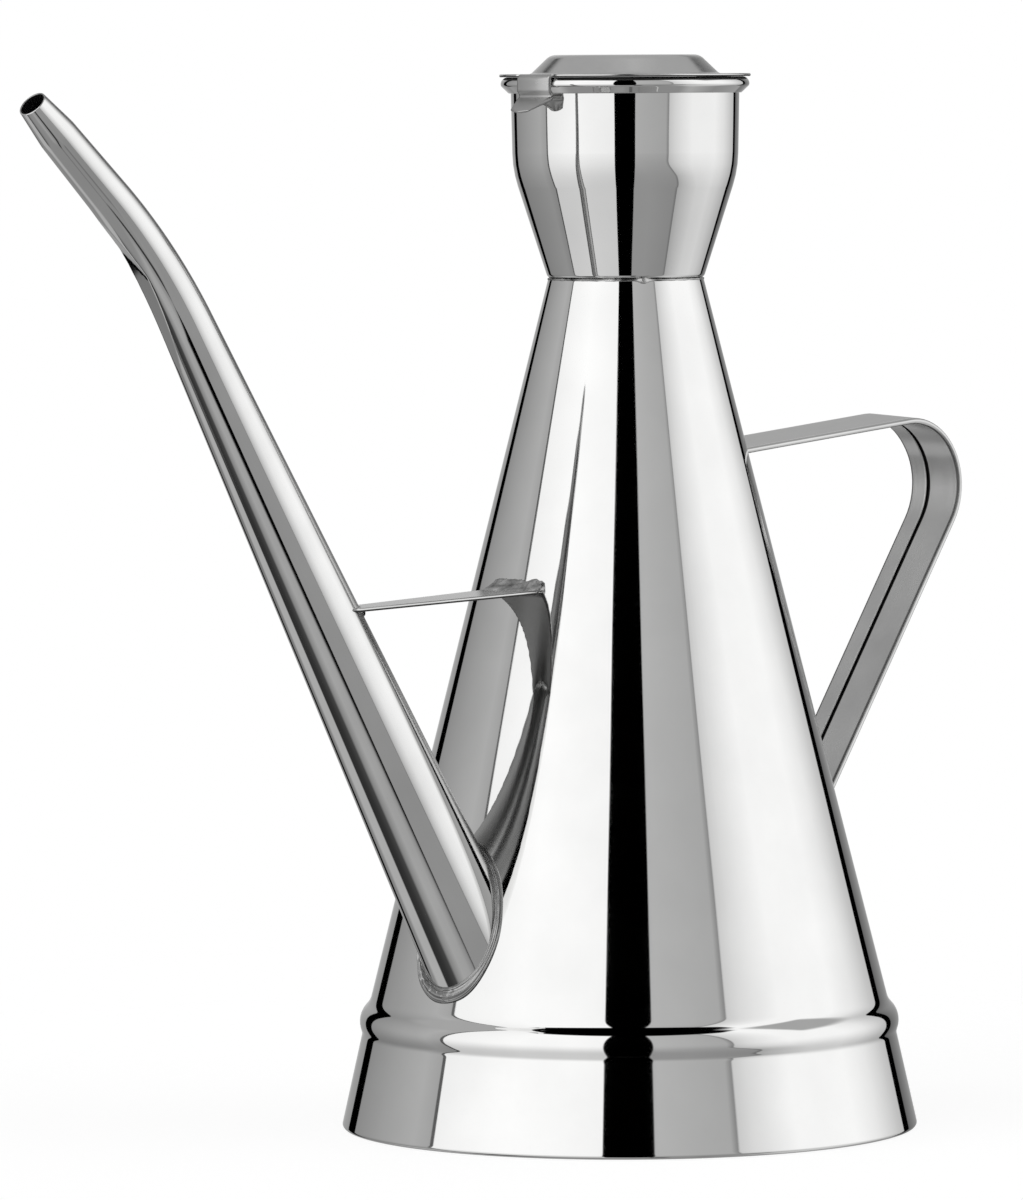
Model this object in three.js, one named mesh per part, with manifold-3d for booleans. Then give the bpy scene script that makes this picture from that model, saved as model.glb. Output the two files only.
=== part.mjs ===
// Oil cruet: a conical sheet-steel pourer with a filling funnel, a clip-on lid, a braced spout and a strip
// handle. Millimetres, +Z up, the cone's axis on Z and the table at Z = 0. The spout points along -X and
// the handle along +X.

import * as THREE from "three";
import { mergeVertices } from "three/addons/utils/BufferGeometryUtils.js";
import Module from "manifold-3d";

const wasm = await Module();
wasm.setup();

// Sheet and wall thicknesses
const BODY_SHEET = 0.7;
const PAN_SHEET = 0.7;
const FUNNEL_SHEET = 0.7;
const LID_SHEET = 0.65;
const SPOUT_WALL = 0.7;
const HANDLE_SHEET = 0.5;
const BRACE_SHEET = 0.95;

// Gap left wherever two pieces are seated, soldered or sprung together
const SEAT_GAP = 0.3;

// Body: the cone, the swaged bead round it, the flared skirt and the foot edge rolled in under it
const NECK_RADIUS = 16.9;
const NECK_HEIGHT = 184.2;
const SKIRT_TOP_RADIUS = 58.1;
const SKIRT_HEIGHT = 20.6;
const SKIRT_EDGE_RADIUS = 62.9;
const FOOT_ROLL_BEND = 1.3;
const FOOT_LAND = 5;
const BEAD_HEIGHT = 7;
const BEAD_CREST_HEIGHT = 3.7;
const BEAD_PROUD = 1.7;
const BEAD_ROOT_BEND = 2.4;
const BEAD_CREST_BEND = 2.2;

// Bottom pan, standing on the rolled-in foot edge, its middle pressed up so that it can't rock
const PAN_WALL_HEIGHT = 6;
const PAN_BEND = 1.2;
const PAN_DISH_RADIUS = 52;
const PAN_DISH_DEPTH = 0.6;
const PAN_DISH_SLOPE = 2;

// Neck funnel: a spigot down inside the cone, a shoulder on the cone's edge, a flare, a band and a rolled rim
const SPIGOT_LENGTH = 6;
const SHOULDER_WIDTH = 1.2;
const SHOULDER_INNER_BEND = 0.6;
const SHOULDER_OUTER_BEND = 0.6;
const FLARE_HEIGHT = 23.8;
const FLARE_TOP_RADIUS = 24.4;
const FLARE_BEND = 6;
const BAND_HEIGHT = 20;
const MOUTH_RADIUS = 24.1;
const RIM_ROLL_WIDTH = 2.82;
const RIM_ROLL_HEIGHT = 3.4;
const RIM_ROLL_OPENING = 0.5;

// Lid: a flat flange on the rim and a raised dome with a flat top
const LID_OVERHANG = 0.3;
const LID_FLANGE_WIDTH = 6.8;
const DOME_SIDE_WIDTH = 4.3;
const DOME_HEIGHT = 4.1;
const DOME_TOP_BEND = 3;
const DOME_FOOT_BEND = 1.2;

// Spring tongues of the lid: over the rolled rim, in under it, then out again to a rounded lip
const TONGUE_WIDTH = 10;
const TONGUE_BEND = 0.6;
const TONGUE_FLAT = 0.4;
const TONGUE_CRIMP_BEND = 1.2;
const TONGUE_CRIMP_DEPTH = 1.25;
const TONGUE_CRIMP_BELOW_ROLL = 0.9;
const TONGUE_SHANK_ABOVE_ROLL_FOOT = 0.6;
const TONGUE_LIP_REACH = 5.5;
const TONGUE_LIP_DROP = 3.3;
const TONGUE_ROUNDING = 3;
const TONGUE_RELIEF = 0.6;

// Spout: a tapered tube, straight from the cone, bent once, with a short nozzle
const SPOUT_ROOT_HEIGHT = 49.3;
const SPOUT_RISE = THREE.MathUtils.degToRad(59.5);
const SPOUT_RUN = 166;
const SPOUT_BEND = 130;
const NOZZLE_RISE = THREE.MathUtils.degToRad(43.5);
const NOZZLE_RUN = 44.8;
const SPOUT_ROOT_DIAMETER = 21.8;
const SPOUT_KNEE_DIAMETER = 11.3;
const SPOUT_BEND_DIAMETER = 9;
const NOZZLE_DIAMETER = 8.2;
const MOUTH_DIAMETER = 6.2;
const MOUTH_TAPER = 9;
const SPOUT_REACH_INSIDE = 2;

// Solder collar round the spout's root
const COLLAR_SECTION = 1.8;
const COLLAR_OUT = 1;
const COLLAR_UP = 0.6;

// Brace strip between the cone and the spout, and the solder at its two ends
const BRACE_HEIGHT = 117.9;
const BRACE_FALL = THREE.MathUtils.degToRad(2.2);
const BRACE_WIDTH = 15.6;
const BRACE_BODY_SOLDER = 2.4;
const BODY_SOLDER_LENGTH = 14.2;
const BRACE_SPOUT_SOLDER = 1.7;
const SPOUT_SOLDER_LENGTH = 12;

// Handle: one strip with both long edges folded over on to its inner face, and a tab at each end
const HANDLE_WIDTH = 15;
const HANDLE_HEM = 5.8;
const HANDLE_TOP_HEIGHT = 146.6;
const HANDLE_TOP_RISE = THREE.MathUtils.degToRad(5.4);
const HANDLE_FOOT_HEIGHT = 58.6;
const HANDLE_FOOT_LEAN = THREE.MathUtils.degToRad(33.73);
const HANDLE_BEND = 15.25;
const TAB_LENGTH = 12;

// Fineness of the round shapes
const ROUND_STEPS = 48;
const SPOUT_STEPS = 24;
const SPOUT_BEND_STEPS = 8;
const SOLDER_STEPS = 8;
const COLLAR_HALVINGS = 24;
const BEND_SAG = 0.06;

const HALF_TURN = Math.PI;
const HALF_TURN_DEGREES = THREE.MathUtils.radToDeg(HALF_TURN);

// Sections of bent sheet, drawn in a plane: first across, second up
const corner = (across, up, bend = 0) => ({ across, up, bend });
const heading = (a, b) => new THREE.Vector2(b.across - a.across, b.up - a.up).normalize();
const leftOf = (way) => new THREE.Vector2(-way.y, way.x);

function waysAt(corners, i) {
  const into = i > 0 ? heading(corners[i - 1], corners[i]) : heading(corners[0], corners[1]);
  const out = i < corners.length - 1 ? heading(corners[i], corners[i + 1]) : into;
  return { into, out, turn: Math.sign(into.cross(out)) };
}

// The same line of corners moved to the left of its way by a distance
function movedLeft(corners, distance) {
  return corners.map((c, i) => {
    const { into, out, turn } = waysAt(corners, i);
    const sum = leftOf(into).add(leftOf(out));
    const move = sum.multiplyScalar(distance / (1 + into.dot(out)));
    const bend = c.bend > 0 ? Math.max(c.bend - turn * distance, 0) : 0;
    return corner(c.across + move.x, c.up + move.y, bend);
  });
}

// Points of a line of corners, each corner rounded to its bend
function bentLine(corners) {
  return corners.flatMap((c, i) => {
    const here = new THREE.Vector2(c.across, c.up);
    if (c.bend === 0 || i === 0 || i === corners.length - 1) {
      return [here];
    }
    const { into, out, turn } = waysAt(corners, i);
    const angle = Math.acos(THREE.MathUtils.clamp(into.dot(out), -1, 1));
    const start = here.clone().addScaledVector(into, -c.bend * Math.tan(angle / 2));
    const centre = start.clone().addScaledVector(leftOf(into), turn * c.bend);
    const stepAngle = 2 * Math.acos(Math.max(1 - BEND_SAG / c.bend, 0));
    const steps = Math.max(2, Math.ceil(angle / stepAngle));
    return Array.from({ length: steps + 1 }, (_, k) =>
      start.clone().rotateAround(centre, (turn * angle * k) / steps),
    );
  });
}

// Outline of a sheet that lies to the left of a line of corners, to the right with a negative thickness
function sheetOutline(corners, thickness) {
  const points = [...bentLine(corners), ...bentLine(movedLeft(corners, thickness)).reverse()];
  return THREE.ShapeUtils.area(points) < 0 ? points.reverse() : points;
}

// An outline turned about Z
function turned(points, steps = ROUND_STEPS) {
  const onAxis = points[0].x === 0 && points[points.length - 1].x === 0;
  const profile = onAxis ? points : [...points, points[0]];
  return new THREE.LatheGeometry(profile, steps).rotateX(HALF_TURN / 2);
}

// An outline in the upright plane through X, given a width along Y
function widened(points, width, middle = 0) {
  const geometry = new THREE.ExtrudeGeometry(new THREE.Shape(points), { depth: width, bevelEnabled: false });
  const across = new THREE.Vector3(1, 0, 0);
  const up = new THREE.Vector3(0, 0, 1);
  geometry.applyMatrix4(new THREE.Matrix4().makeBasis(across, up, up.clone().cross(across).negate()));
  return geometry.translate(0, middle + width / 2, 0);
}

function solid(geometry) {
  const bare = geometry.clone();
  bare.deleteAttribute("normal");
  bare.deleteAttribute("uv");
  const merged = mergeVertices(bare);
  const vertProperties = Float32Array.from(merged.attributes.position.array);
  const triVerts = Uint32Array.from(merged.index.array);
  return new wasm.Manifold(new wasm.Mesh({ numProp: 3, vertProperties, triVerts }));
}

function geometryOf(manifold) {
  const mesh = manifold.getMesh();
  const geometry = new THREE.BufferGeometry();
  geometry.setAttribute("position", new THREE.BufferAttribute(mesh.vertProperties, 3));
  geometry.setIndex(new THREE.BufferAttribute(mesh.triVerts, 1));
  const faceted = geometry.toNonIndexed();
  faceted.computeVertexNormals();
  return faceted;
}

function box(from, to) {
  const size = to.clone().sub(from);
  const middle = from.clone().add(to).multiplyScalar(0.5);
  return solid(new THREE.BoxGeometry(size.x, size.y, size.z).translate(middle.x, middle.y, middle.z));
}

// Body
const coneSlope = (SKIRT_TOP_RADIUS - NECK_RADIUS) / (NECK_HEIGHT - SKIRT_HEIGHT);
const coneRadius = (height) => NECK_RADIUS + coneSlope * (NECK_HEIGHT - height);
const skirtSlope = (SKIRT_EDGE_RADIUS - SKIRT_TOP_RADIUS) / SKIRT_HEIGHT;
const skirtRadius = (height) => SKIRT_EDGE_RADIUS - skirtSlope * height;
const beadTop = SKIRT_HEIGHT + BEAD_HEIGHT;
const beadCrest = SKIRT_HEIGHT + BEAD_CREST_HEIGHT;

const bodyOutside = [
  corner(NECK_RADIUS, NECK_HEIGHT),
  corner(coneRadius(beadTop), beadTop, BEAD_ROOT_BEND),
  corner(coneRadius(beadCrest) + BEAD_PROUD, beadCrest, BEAD_CREST_BEND),
  corner(SKIRT_TOP_RADIUS, SKIRT_HEIGHT, BEAD_ROOT_BEND),
  corner(SKIRT_EDGE_RADIUS, 0, FOOT_ROLL_BEND),
  corner(SKIRT_EDGE_RADIUS - FOOT_LAND, 0),
];

// The whole room inside a skin a given distance outside the body, for fitting pieces to it
function coneRoom(outside) {
  const skin = bentLine(movedLeft(bodyOutside, outside)).reverse();
  const [low, high] = [skin[0], skin[skin.length - 1]];
  return solid(turned([new THREE.Vector2(0, low.y), ...skin, new THREE.Vector2(0, high.y)]));
}
const clearOfCone = coneRoom(SEAT_GAP);

// Spout, laid out along +X; its group turns it to -X
const spoutStart = -SPOUT_ROOT_DIAMETER;
const spoutKnee = SPOUT_RUN - SPOUT_BEND * Math.tan((SPOUT_RISE - NOZZLE_RISE) / 2);
const spoutRoot = new THREE.Vector2(coneRadius(SPOUT_ROOT_HEIGHT), SPOUT_ROOT_HEIGHT);
const alongRise = new THREE.Vector2(Math.cos(SPOUT_RISE), Math.sin(SPOUT_RISE));
const alongNozzle = new THREE.Vector2(Math.cos(NOZZLE_RISE), Math.sin(NOZZLE_RISE));

function spoutLine() {
  const bendRun = SPOUT_BEND * Math.tan((SPOUT_RISE - NOZZLE_RISE) / 2);
  const start = spoutRoot.clone().addScaledVector(alongRise, spoutStart);
  const knee = spoutRoot.clone().addScaledVector(alongRise, spoutKnee);
  const tip = knee.clone().addScaledVector(alongRise, bendRun).addScaledVector(alongNozzle, NOZZLE_RUN);
  const centre = knee.clone().addScaledVector(leftOf(alongRise), -SPOUT_BEND);
  const quarter = HALF_TURN / 2;
  const line = new THREE.Path();
  line.moveTo(start.x, start.y);
  line.lineTo(knee.x, knee.y);
  line.absarc(centre.x, centre.y, SPOUT_BEND, SPOUT_RISE + quarter, NOZZLE_RISE + quarter, true);
  line.lineTo(tip.x, tip.y);
  return line;
}
const spoutAxis = spoutLine();
const spoutTip = spoutStart + spoutAxis.getLength();
const spoutBendEnd = spoutKnee + SPOUT_BEND * (SPOUT_RISE - NOZZLE_RISE);

// Outside of the spout: its diameters at distances from its root along its axis
const spoutSizes = [
  { along: 0, diameter: SPOUT_ROOT_DIAMETER },
  { along: spoutKnee, diameter: SPOUT_KNEE_DIAMETER },
  { along: spoutBendEnd, diameter: SPOUT_BEND_DIAMETER },
  { along: spoutTip - MOUTH_TAPER, diameter: NOZZLE_DIAMETER },
  { along: spoutTip, diameter: MOUTH_DIAMETER },
];

function spoutRadius(distance) {
  const later = spoutSizes.findIndex(({ along }) => along > distance);
  const end = later < 0 ? spoutSizes.length - 1 : Math.max(later, 1);
  const [a, b] = [spoutSizes[end - 1], spoutSizes[end]];
  return THREE.MathUtils.lerp(a.diameter, b.diameter, (distance - a.along) / (b.along - a.along)) / 2;
}

// A point at a distance along the spout, so far to its upper side and so far sideways
function besideSpout(distance, upper, sideways) {
  const share = THREE.MathUtils.clamp((distance - spoutStart) / (spoutTip - spoutStart), 0, 1);
  const at = spoutAxis.getPoint(share);
  const way = spoutAxis.getTangent(share);
  at.addScaledVector(leftOf(way), upper);
  return new THREE.Vector3(at.x, sideways, at.y);
}

// A straight turned tube bent along the spout's axis
function alongSpout(profile) {
  const geometry = new THREE.LatheGeometry(profile, SPOUT_STEPS);
  const position = geometry.attributes.position;
  for (let i = 0; i < position.count; i++) {
    const bent = besideSpout(position.getY(i), position.getX(i), position.getZ(i));
    position.setXYZ(i, bent.x, bent.y, bent.z);
  }
  return solid(geometry);
}

const spoutStations = [
  spoutStart,
  ...Array.from({ length: SPOUT_BEND_STEPS + 1 }, (_, i) =>
    THREE.MathUtils.lerp(spoutKnee, spoutBendEnd, i / SPOUT_BEND_STEPS),
  ),
  spoutTip - MOUTH_TAPER,
  spoutTip,
];

const spoutSide = (bigger) => spoutStations.map((d) => new THREE.Vector2(spoutRadius(d) + bigger, d));

function spoutRoom(bigger) {
  const ends = [new THREE.Vector2(0, spoutStart), new THREE.Vector2(0, spoutTip)];
  return alongSpout([ends[0], ...spoutSide(bigger), ends[1]]);
}
const clearOfSpout = spoutRoom(SEAT_GAP);

function spoutTube() {
  const outside = spoutSide(0);
  const inside = spoutSide(-SPOUT_WALL).reverse();
  const tube = alongSpout([...outside, ...inside, outside[0]]);
  return tube.subtract(coneRoom(-BODY_SHEET - SPOUT_REACH_INSIDE));
}

const bodyShell = solid(turned(sheetOutline(bodyOutside, -BODY_SHEET)));
const bodyWithHole = bodyShell.subtract(clearOfSpout.rotate([0, 0, HALF_TURN_DEGREES]));

// Solder collar: follows the line where the spout's skin meets the cone's
class CollarLine extends THREE.Curve {
  getPoint(share, target = new THREE.Vector3()) {
    const turn = 2 * HALF_TURN * share;
    let inside = spoutStart;
    let outside = SPOUT_ROOT_DIAMETER;
    const at = (distance) => {
      const radius = spoutRadius(distance) + COLLAR_OUT;
      return besideSpout(distance, radius * Math.cos(turn), radius * Math.sin(turn));
    };
    for (let halvings = 0; halvings < COLLAR_HALVINGS; halvings++) {
      const middle = (inside + outside) / 2;
      const point = at(middle);
      if (Math.hypot(point.x, point.y) < coneRadius(point.z) + COLLAR_UP) {
        inside = middle;
      } else {
        outside = middle;
      }
    }
    return target.copy(at(inside));
  }
}

function collar() {
  const ring = new THREE.TubeGeometry(new CollarLine(), ROUND_STEPS, COLLAR_SECTION, SOLDER_STEPS, true);
  return solid(ring).subtract(clearOfCone).subtract(clearOfSpout);
}

// Brace and its solder, on the spout's side; the brace falls a little towards the spout
const spoutAxisAt = (height) => spoutRoot.x + (height - SPOUT_ROOT_HEIGHT) / Math.tan(SPOUT_RISE);
const braceFoot = coneRadius(BRACE_HEIGHT);
const braceHeightAt = (across) => BRACE_HEIGHT - Math.tan(BRACE_FALL) * (across - braceFoot);

// The strip ends within the spout's outline, on the cone's side of its widest line
const braceEndHeight = braceHeightAt(spoutAxisAt(BRACE_HEIGHT)) - BRACE_SHEET;
const braceEnd = spoutAxisAt(braceEndHeight) - BRACE_SHEET;

function braceBlock(bigger) {
  const half = new THREE.Vector3(0, BRACE_WIDTH / 2 + bigger, BRACE_SHEET / 2 + bigger);
  const from = new THREE.Vector3(-braceFoot, 0, 0).sub(half);
  const to = new THREE.Vector3(braceEnd - braceFoot, 0, 0).add(half);
  const fall = THREE.MathUtils.radToDeg(BRACE_FALL);
  return box(from, to).rotate([0, fall, 0]).translate([braceFoot, 0, BRACE_HEIGHT]);
}
const clearOfBrace = braceBlock(SEAT_GAP);
const brace = braceBlock(0).subtract(clearOfCone).subtract(clearOfSpout);

// A round bead of solder along a line
function solderBead(line, radius) {
  const round = new THREE.Shape();
  round.absarc(0, 0, radius, 0, 2 * HALF_TURN);
  const options = { steps: SOLDER_STEPS, curveSegments: SOLDER_STEPS, extrudePath: line };
  return solid(new THREE.ExtrudeGeometry(round, options));
}

// A level arc of solder about an upright line, flattened along X by a share
function levelArc(centre, height, radius, flatten, halfWidth) {
  const reach = Math.asin(halfWidth / radius);
  const points = Array.from({ length: SOLDER_STEPS + 1 }, (_, i) => {
    const angle = THREE.MathUtils.lerp(-reach, reach, i / SOLDER_STEPS);
    return new THREE.Vector3(centre + flatten * radius * Math.cos(angle), radius * Math.sin(angle), height);
  });
  return new THREE.CatmullRomCurve3(points);
}

const largest = (manifold) => manifold.decompose().sort((a, b) => b.volume() - a.volume())[0];

function braceBodySolder() {
  const height = BRACE_HEIGHT + BRACE_SHEET / 2;
  const halfWidth = BODY_SOLDER_LENGTH / 2 - BRACE_BODY_SOLDER;
  const line = levelArc(0, height, coneRadius(height), 1, halfWidth);
  return largest(solderBead(line, BRACE_BODY_SOLDER).subtract(clearOfCone).subtract(clearOfBrace));
}

function braceSpoutSolder() {
  const height = braceHeightAt(spoutAxisAt(BRACE_HEIGHT)) - BRACE_SHEET / 2;
  const centre = spoutAxisAt(height);
  const radius = spoutRadius((height - SPOUT_ROOT_HEIGHT) / Math.sin(SPOUT_RISE));
  const halfWidth = SPOUT_SOLDER_LENGTH / 2 - BRACE_SPOUT_SOLDER;
  const line = levelArc(centre, height, radius, -1 / Math.sin(SPOUT_RISE), halfWidth);
  return largest(solderBead(line, BRACE_SPOUT_SOLDER).subtract(clearOfSpout).subtract(clearOfBrace));
}

// Handle, on +X
function handleStrip() {
  const top = corner(coneRadius(HANDLE_TOP_HEIGHT), HANDLE_TOP_HEIGHT);
  const foot = corner(coneRadius(HANDLE_FOOT_HEIGHT), HANDLE_FOOT_HEIGHT);
  const topSlope = Math.tan(HANDLE_TOP_RISE);
  const footSlope = Math.tan(HANDLE_FOOT_LEAN);
  const rise = top.up - foot.up - topSlope * top.across;
  const reach = (foot.across + footSlope * rise) / (1 - footSlope * topSlope);
  const knuckle = corner(reach, top.up + topSlope * (reach - top.across), HANDLE_BEND);
  const topInside = corner(0, top.up - topSlope * top.across);
  const footInside = corner(foot.across - footSlope * TAB_LENGTH, foot.up - TAB_LENGTH);
  const line = [topInside, knuckle, footInside];
  const strip = solid(widened(sheetOutline(line, -HANDLE_SHEET), HANDLE_WIDTH));
  const hemMiddle = (HANDLE_WIDTH - HANDLE_HEM) / 2;
  const hems = [-hemMiddle, hemMiddle].map((middle) =>
    solid(widened(sheetOutline(line, -2 * HANDLE_SHEET), HANDLE_HEM, middle)),
  );
  const tabs = [HANDLE_TOP_HEIGHT, HANDLE_FOOT_HEIGHT + HANDLE_SHEET].map((height) => {
    const from = new THREE.Vector3(0, -HANDLE_WIDTH / 2, height - TAB_LENGTH);
    const to = new THREE.Vector3(SKIRT_EDGE_RADIUS, HANDLE_WIDTH / 2, height);
    return coneRoom(SEAT_GAP + HANDLE_SHEET).intersect(box(from, to));
  });
  return strip.add(hems[0]).add(hems[1]).add(tabs[0]).add(tabs[1]).subtract(clearOfCone);
}

// Bottom pan
function bottomPan() {
  const underside = BODY_SHEET + SEAT_GAP;
  const inset = (BODY_SHEET + SEAT_GAP) * Math.hypot(1, skirtSlope);
  const wallTop = underside + PAN_WALL_HEIGHT;
  const line = [
    corner(0, underside + PAN_DISH_DEPTH),
    corner(PAN_DISH_RADIUS, underside + PAN_DISH_DEPTH),
    corner(PAN_DISH_RADIUS + PAN_DISH_SLOPE, underside),
    corner(skirtRadius(underside) - inset, underside, PAN_BEND),
    corner(skirtRadius(wallTop) - inset, wallTop),
  ];
  return turned(sheetOutline(line, PAN_SHEET));
}

// Neck funnel, drawn along its bore and round the outside of its rolled rim
const flareTop = NECK_HEIGHT + FLARE_HEIGHT;
const rimTop = flareTop + BAND_HEIGHT;
const rollFoot = rimTop - RIM_ROLL_HEIGHT;
const rimOutside = MOUTH_RADIUS + RIM_ROLL_WIDTH;

function neckFunnel() {
  const spigot = NECK_RADIUS - BODY_SHEET * Math.hypot(1, coneSlope) - SEAT_GAP - FUNNEL_SHEET;
  const shoulder = NECK_HEIGHT + SEAT_GAP + FUNNEL_SHEET;
  const rollBend = Math.min(RIM_ROLL_WIDTH, RIM_ROLL_HEIGHT) / 2;
  const line = [
    corner(spigot, NECK_HEIGHT - SPIGOT_LENGTH),
    corner(spigot, shoulder, SHOULDER_INNER_BEND),
    corner(spigot + SHOULDER_WIDTH, shoulder, SHOULDER_OUTER_BEND),
    corner(FLARE_TOP_RADIUS - FUNNEL_SHEET, flareTop, FLARE_BEND),
    corner(MOUTH_RADIUS, rimTop, rollBend),
    corner(rimOutside, rimTop, rollBend),
    corner(rimOutside, rollFoot, rollBend),
    corner(MOUTH_RADIUS + FUNNEL_SHEET + RIM_ROLL_OPENING, rollFoot),
  ];
  return turned(sheetOutline(line, -FUNNEL_SHEET));
}

// Lid and its spring tongues
const flangeUnder = rimTop + SEAT_GAP;
const flangeEdge = rimOutside + LID_OVERHANG;
const tongueFace = rimOutside + SEAT_GAP;
const tongueRoot = tongueFace - TONGUE_BEND - TONGUE_FLAT;
const tongueCrimp = rollFoot - TONGUE_CRIMP_BELOW_ROLL;
const tongueEnd = tongueCrimp - TONGUE_LIP_DROP;

function lidPlate() {
  const flangeTop = flangeUnder + LID_SHEET;
  const domeTop = flangeTop + DOME_HEIGHT;
  const domeFoot = flangeEdge - LID_FLANGE_WIDTH;
  const line = [
    corner(0, domeTop),
    corner(domeFoot - DOME_SIDE_WIDTH, domeTop, DOME_TOP_BEND),
    corner(domeFoot, flangeTop, DOME_FOOT_BEND),
    corner(flangeEdge, flangeTop),
  ];
  const plate = solid(turned(sheetOutline(line, -LID_SHEET)));
  const half = TONGUE_WIDTH / 2 + TONGUE_RELIEF;
  const from = new THREE.Vector3(tongueRoot - SEAT_GAP, -half, tongueEnd);
  const to = new THREE.Vector3(flangeEdge + half, half, domeTop);
  const notch = box(from, to);
  return plate.subtract(notch).subtract(notch.rotate([0, 0, HALF_TURN_DEGREES]));
}

function tongue() {
  const crimpFace = tongueFace - TONGUE_CRIMP_DEPTH;
  const line = [
    corner(tongueRoot, flangeUnder),
    corner(tongueFace, flangeUnder, TONGUE_BEND),
    corner(tongueFace, rollFoot + TONGUE_SHANK_ABOVE_ROLL_FOOT, TONGUE_BEND),
    corner(crimpFace, tongueCrimp, TONGUE_CRIMP_BEND),
    corner(crimpFace + TONGUE_LIP_REACH, tongueEnd),
  ];
  const strip = solid(widened(sheetOutline(line, LID_SHEET), TONGUE_WIDTH));
  const half = TONGUE_WIDTH / 2;
  const front = new THREE.Shape();
  front.moveTo(half, flangeUnder + 2 * LID_SHEET);
  front.lineTo(-half, flangeUnder + 2 * LID_SHEET);
  front.lineTo(-half, tongueEnd + TONGUE_ROUNDING);
  front.absellipse(0, tongueEnd + TONGUE_ROUNDING, half, TONGUE_ROUNDING, HALF_TURN, 2 * HALF_TURN);
  const rounding = new THREE.ExtrudeGeometry(front, { depth: 2 * flangeEdge, bevelEnabled: false });
  const [x, y, z] = [new THREE.Vector3(1, 0, 0), new THREE.Vector3(0, 1, 0), new THREE.Vector3(0, 0, 1)];
  rounding.applyMatrix4(new THREE.Matrix4().makeBasis(y, z, x));
  return strip.intersect(solid(rounding));
}

// Materials
const steel = (color, roughness) => new THREE.MeshStandardMaterial({ color, roughness, metalness: 1 });
const POLISHED = 0xc9ccd0;
const BRIGHT = 0xd6d8da;
const SOLDER = 0xa5a39e;

function piece(name, geometry, material) {
  const mesh = new THREE.Mesh(geometry, material);
  mesh.name = name;
  return mesh;
}

// Assembly
const cruet = new THREE.Group();
cruet.name = "oil_cruet";

cruet.add(
  piece("body_cone", geometryOf(bodyWithHole), steel(POLISHED, 0.14)),
  piece("bottom_pan", bottomPan(), steel(POLISHED, 0.24)),
  piece("neck_funnel", neckFunnel(), steel(POLISHED, 0.16)),
  piece("handle", geometryOf(handleStrip()), steel(BRIGHT, 0.2)),
);

const spoutGroup = new THREE.Group();
spoutGroup.rotation.z = HALF_TURN;
spoutGroup.add(
  piece("spout", geometryOf(spoutTube()), steel(BRIGHT, 0.16)),
  piece("spout_solder", geometryOf(collar()), steel(SOLDER, 0.42)),
  piece("brace", geometryOf(brace), steel(BRIGHT, 0.2)),
  piece("brace_body_solder", geometryOf(braceBodySolder()), steel(SOLDER, 0.45)),
  piece("brace_spout_solder", geometryOf(braceSpoutSolder()), steel(SOLDER, 0.45)),
  piece("lid_tongue_spout_side", geometryOf(tongue()), steel(BRIGHT, 0.18)),
);
cruet.add(spoutGroup);

cruet.add(
  piece("lid", geometryOf(lidPlate()), steel(BRIGHT, 0.18)),
  piece("lid_tongue_handle_side", geometryOf(tongue()), steel(BRIGHT, 0.18)),
);

export default cruet;
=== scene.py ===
"""Oil cruet in polished sheet steel: cone, funnel, clip-on lid, braced spout and strip handle.

Metres, Z up. The handle lies along +X. The spout is laid out along +X and turned to -X.
"""

import functools
import math
from typing import NamedTuple

import bmesh
import bpy
from mathutils import Matrix, Vector, noise


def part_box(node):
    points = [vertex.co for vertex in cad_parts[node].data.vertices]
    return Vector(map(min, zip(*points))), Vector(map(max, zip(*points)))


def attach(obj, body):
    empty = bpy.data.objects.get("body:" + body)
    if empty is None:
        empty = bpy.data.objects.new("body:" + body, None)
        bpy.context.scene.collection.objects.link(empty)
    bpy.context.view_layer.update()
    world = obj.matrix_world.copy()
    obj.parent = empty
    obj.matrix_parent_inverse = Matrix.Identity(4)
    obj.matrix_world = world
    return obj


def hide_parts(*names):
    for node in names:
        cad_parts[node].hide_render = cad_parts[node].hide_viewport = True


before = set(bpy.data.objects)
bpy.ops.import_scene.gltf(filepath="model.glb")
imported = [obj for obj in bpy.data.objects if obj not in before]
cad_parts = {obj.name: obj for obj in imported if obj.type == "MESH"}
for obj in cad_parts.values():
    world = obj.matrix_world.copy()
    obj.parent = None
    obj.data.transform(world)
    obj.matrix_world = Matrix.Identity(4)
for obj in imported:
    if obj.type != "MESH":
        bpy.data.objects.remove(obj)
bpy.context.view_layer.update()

MM = 0.001
FULL_TURN = 2 * math.pi
TO_SPOUT_SIDE = Matrix.Rotation(math.pi, 4, "Z")

# Sheet and wall thicknesses
BODY_SHEET = 0.7 * MM
PAN_SHEET = 0.7 * MM
FUNNEL_SHEET = 0.7 * MM
LID_SHEET = 0.65 * MM
SPOUT_WALL = 0.7 * MM
HANDLE_SHEET = 0.46 * MM
BRACE_SHEET = 0.9 * MM
SEAT_GAP = 0.3 * MM

# Body
NECK_RADIUS = 16.9 * MM
NECK_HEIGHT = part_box("body_cone")[1].z
SKIRT_TOP_RADIUS = 58.1 * MM
SKIRT_HEIGHT = 20.6 * MM
SKIRT_EDGE_RADIUS = 62.725 * MM
FOOT_ROLL_BEND = 0.8 * MM
FOOT_LAND = 5 * MM
BEAD_HEIGHT = 7 * MM
BEAD_CREST_HEIGHT = 3.7 * MM
BEAD_PROUD = 2.08 * MM
BEAD_UPPER_BEND = 4 * MM
BEAD_CREST_BEND = 5 * MM
BEAD_LOWER_BEND = 2 * MM

# Bottom pan
PAN_WALL_HEIGHT = 6 * MM
PAN_BEND = 1.2 * MM
PAN_DISH_RADIUS = 52 * MM
PAN_DISH_DEPTH = 0.6 * MM
PAN_DISH_SLOPE = 2 * MM
PAN_DISH_BEND = 2 * MM

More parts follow.
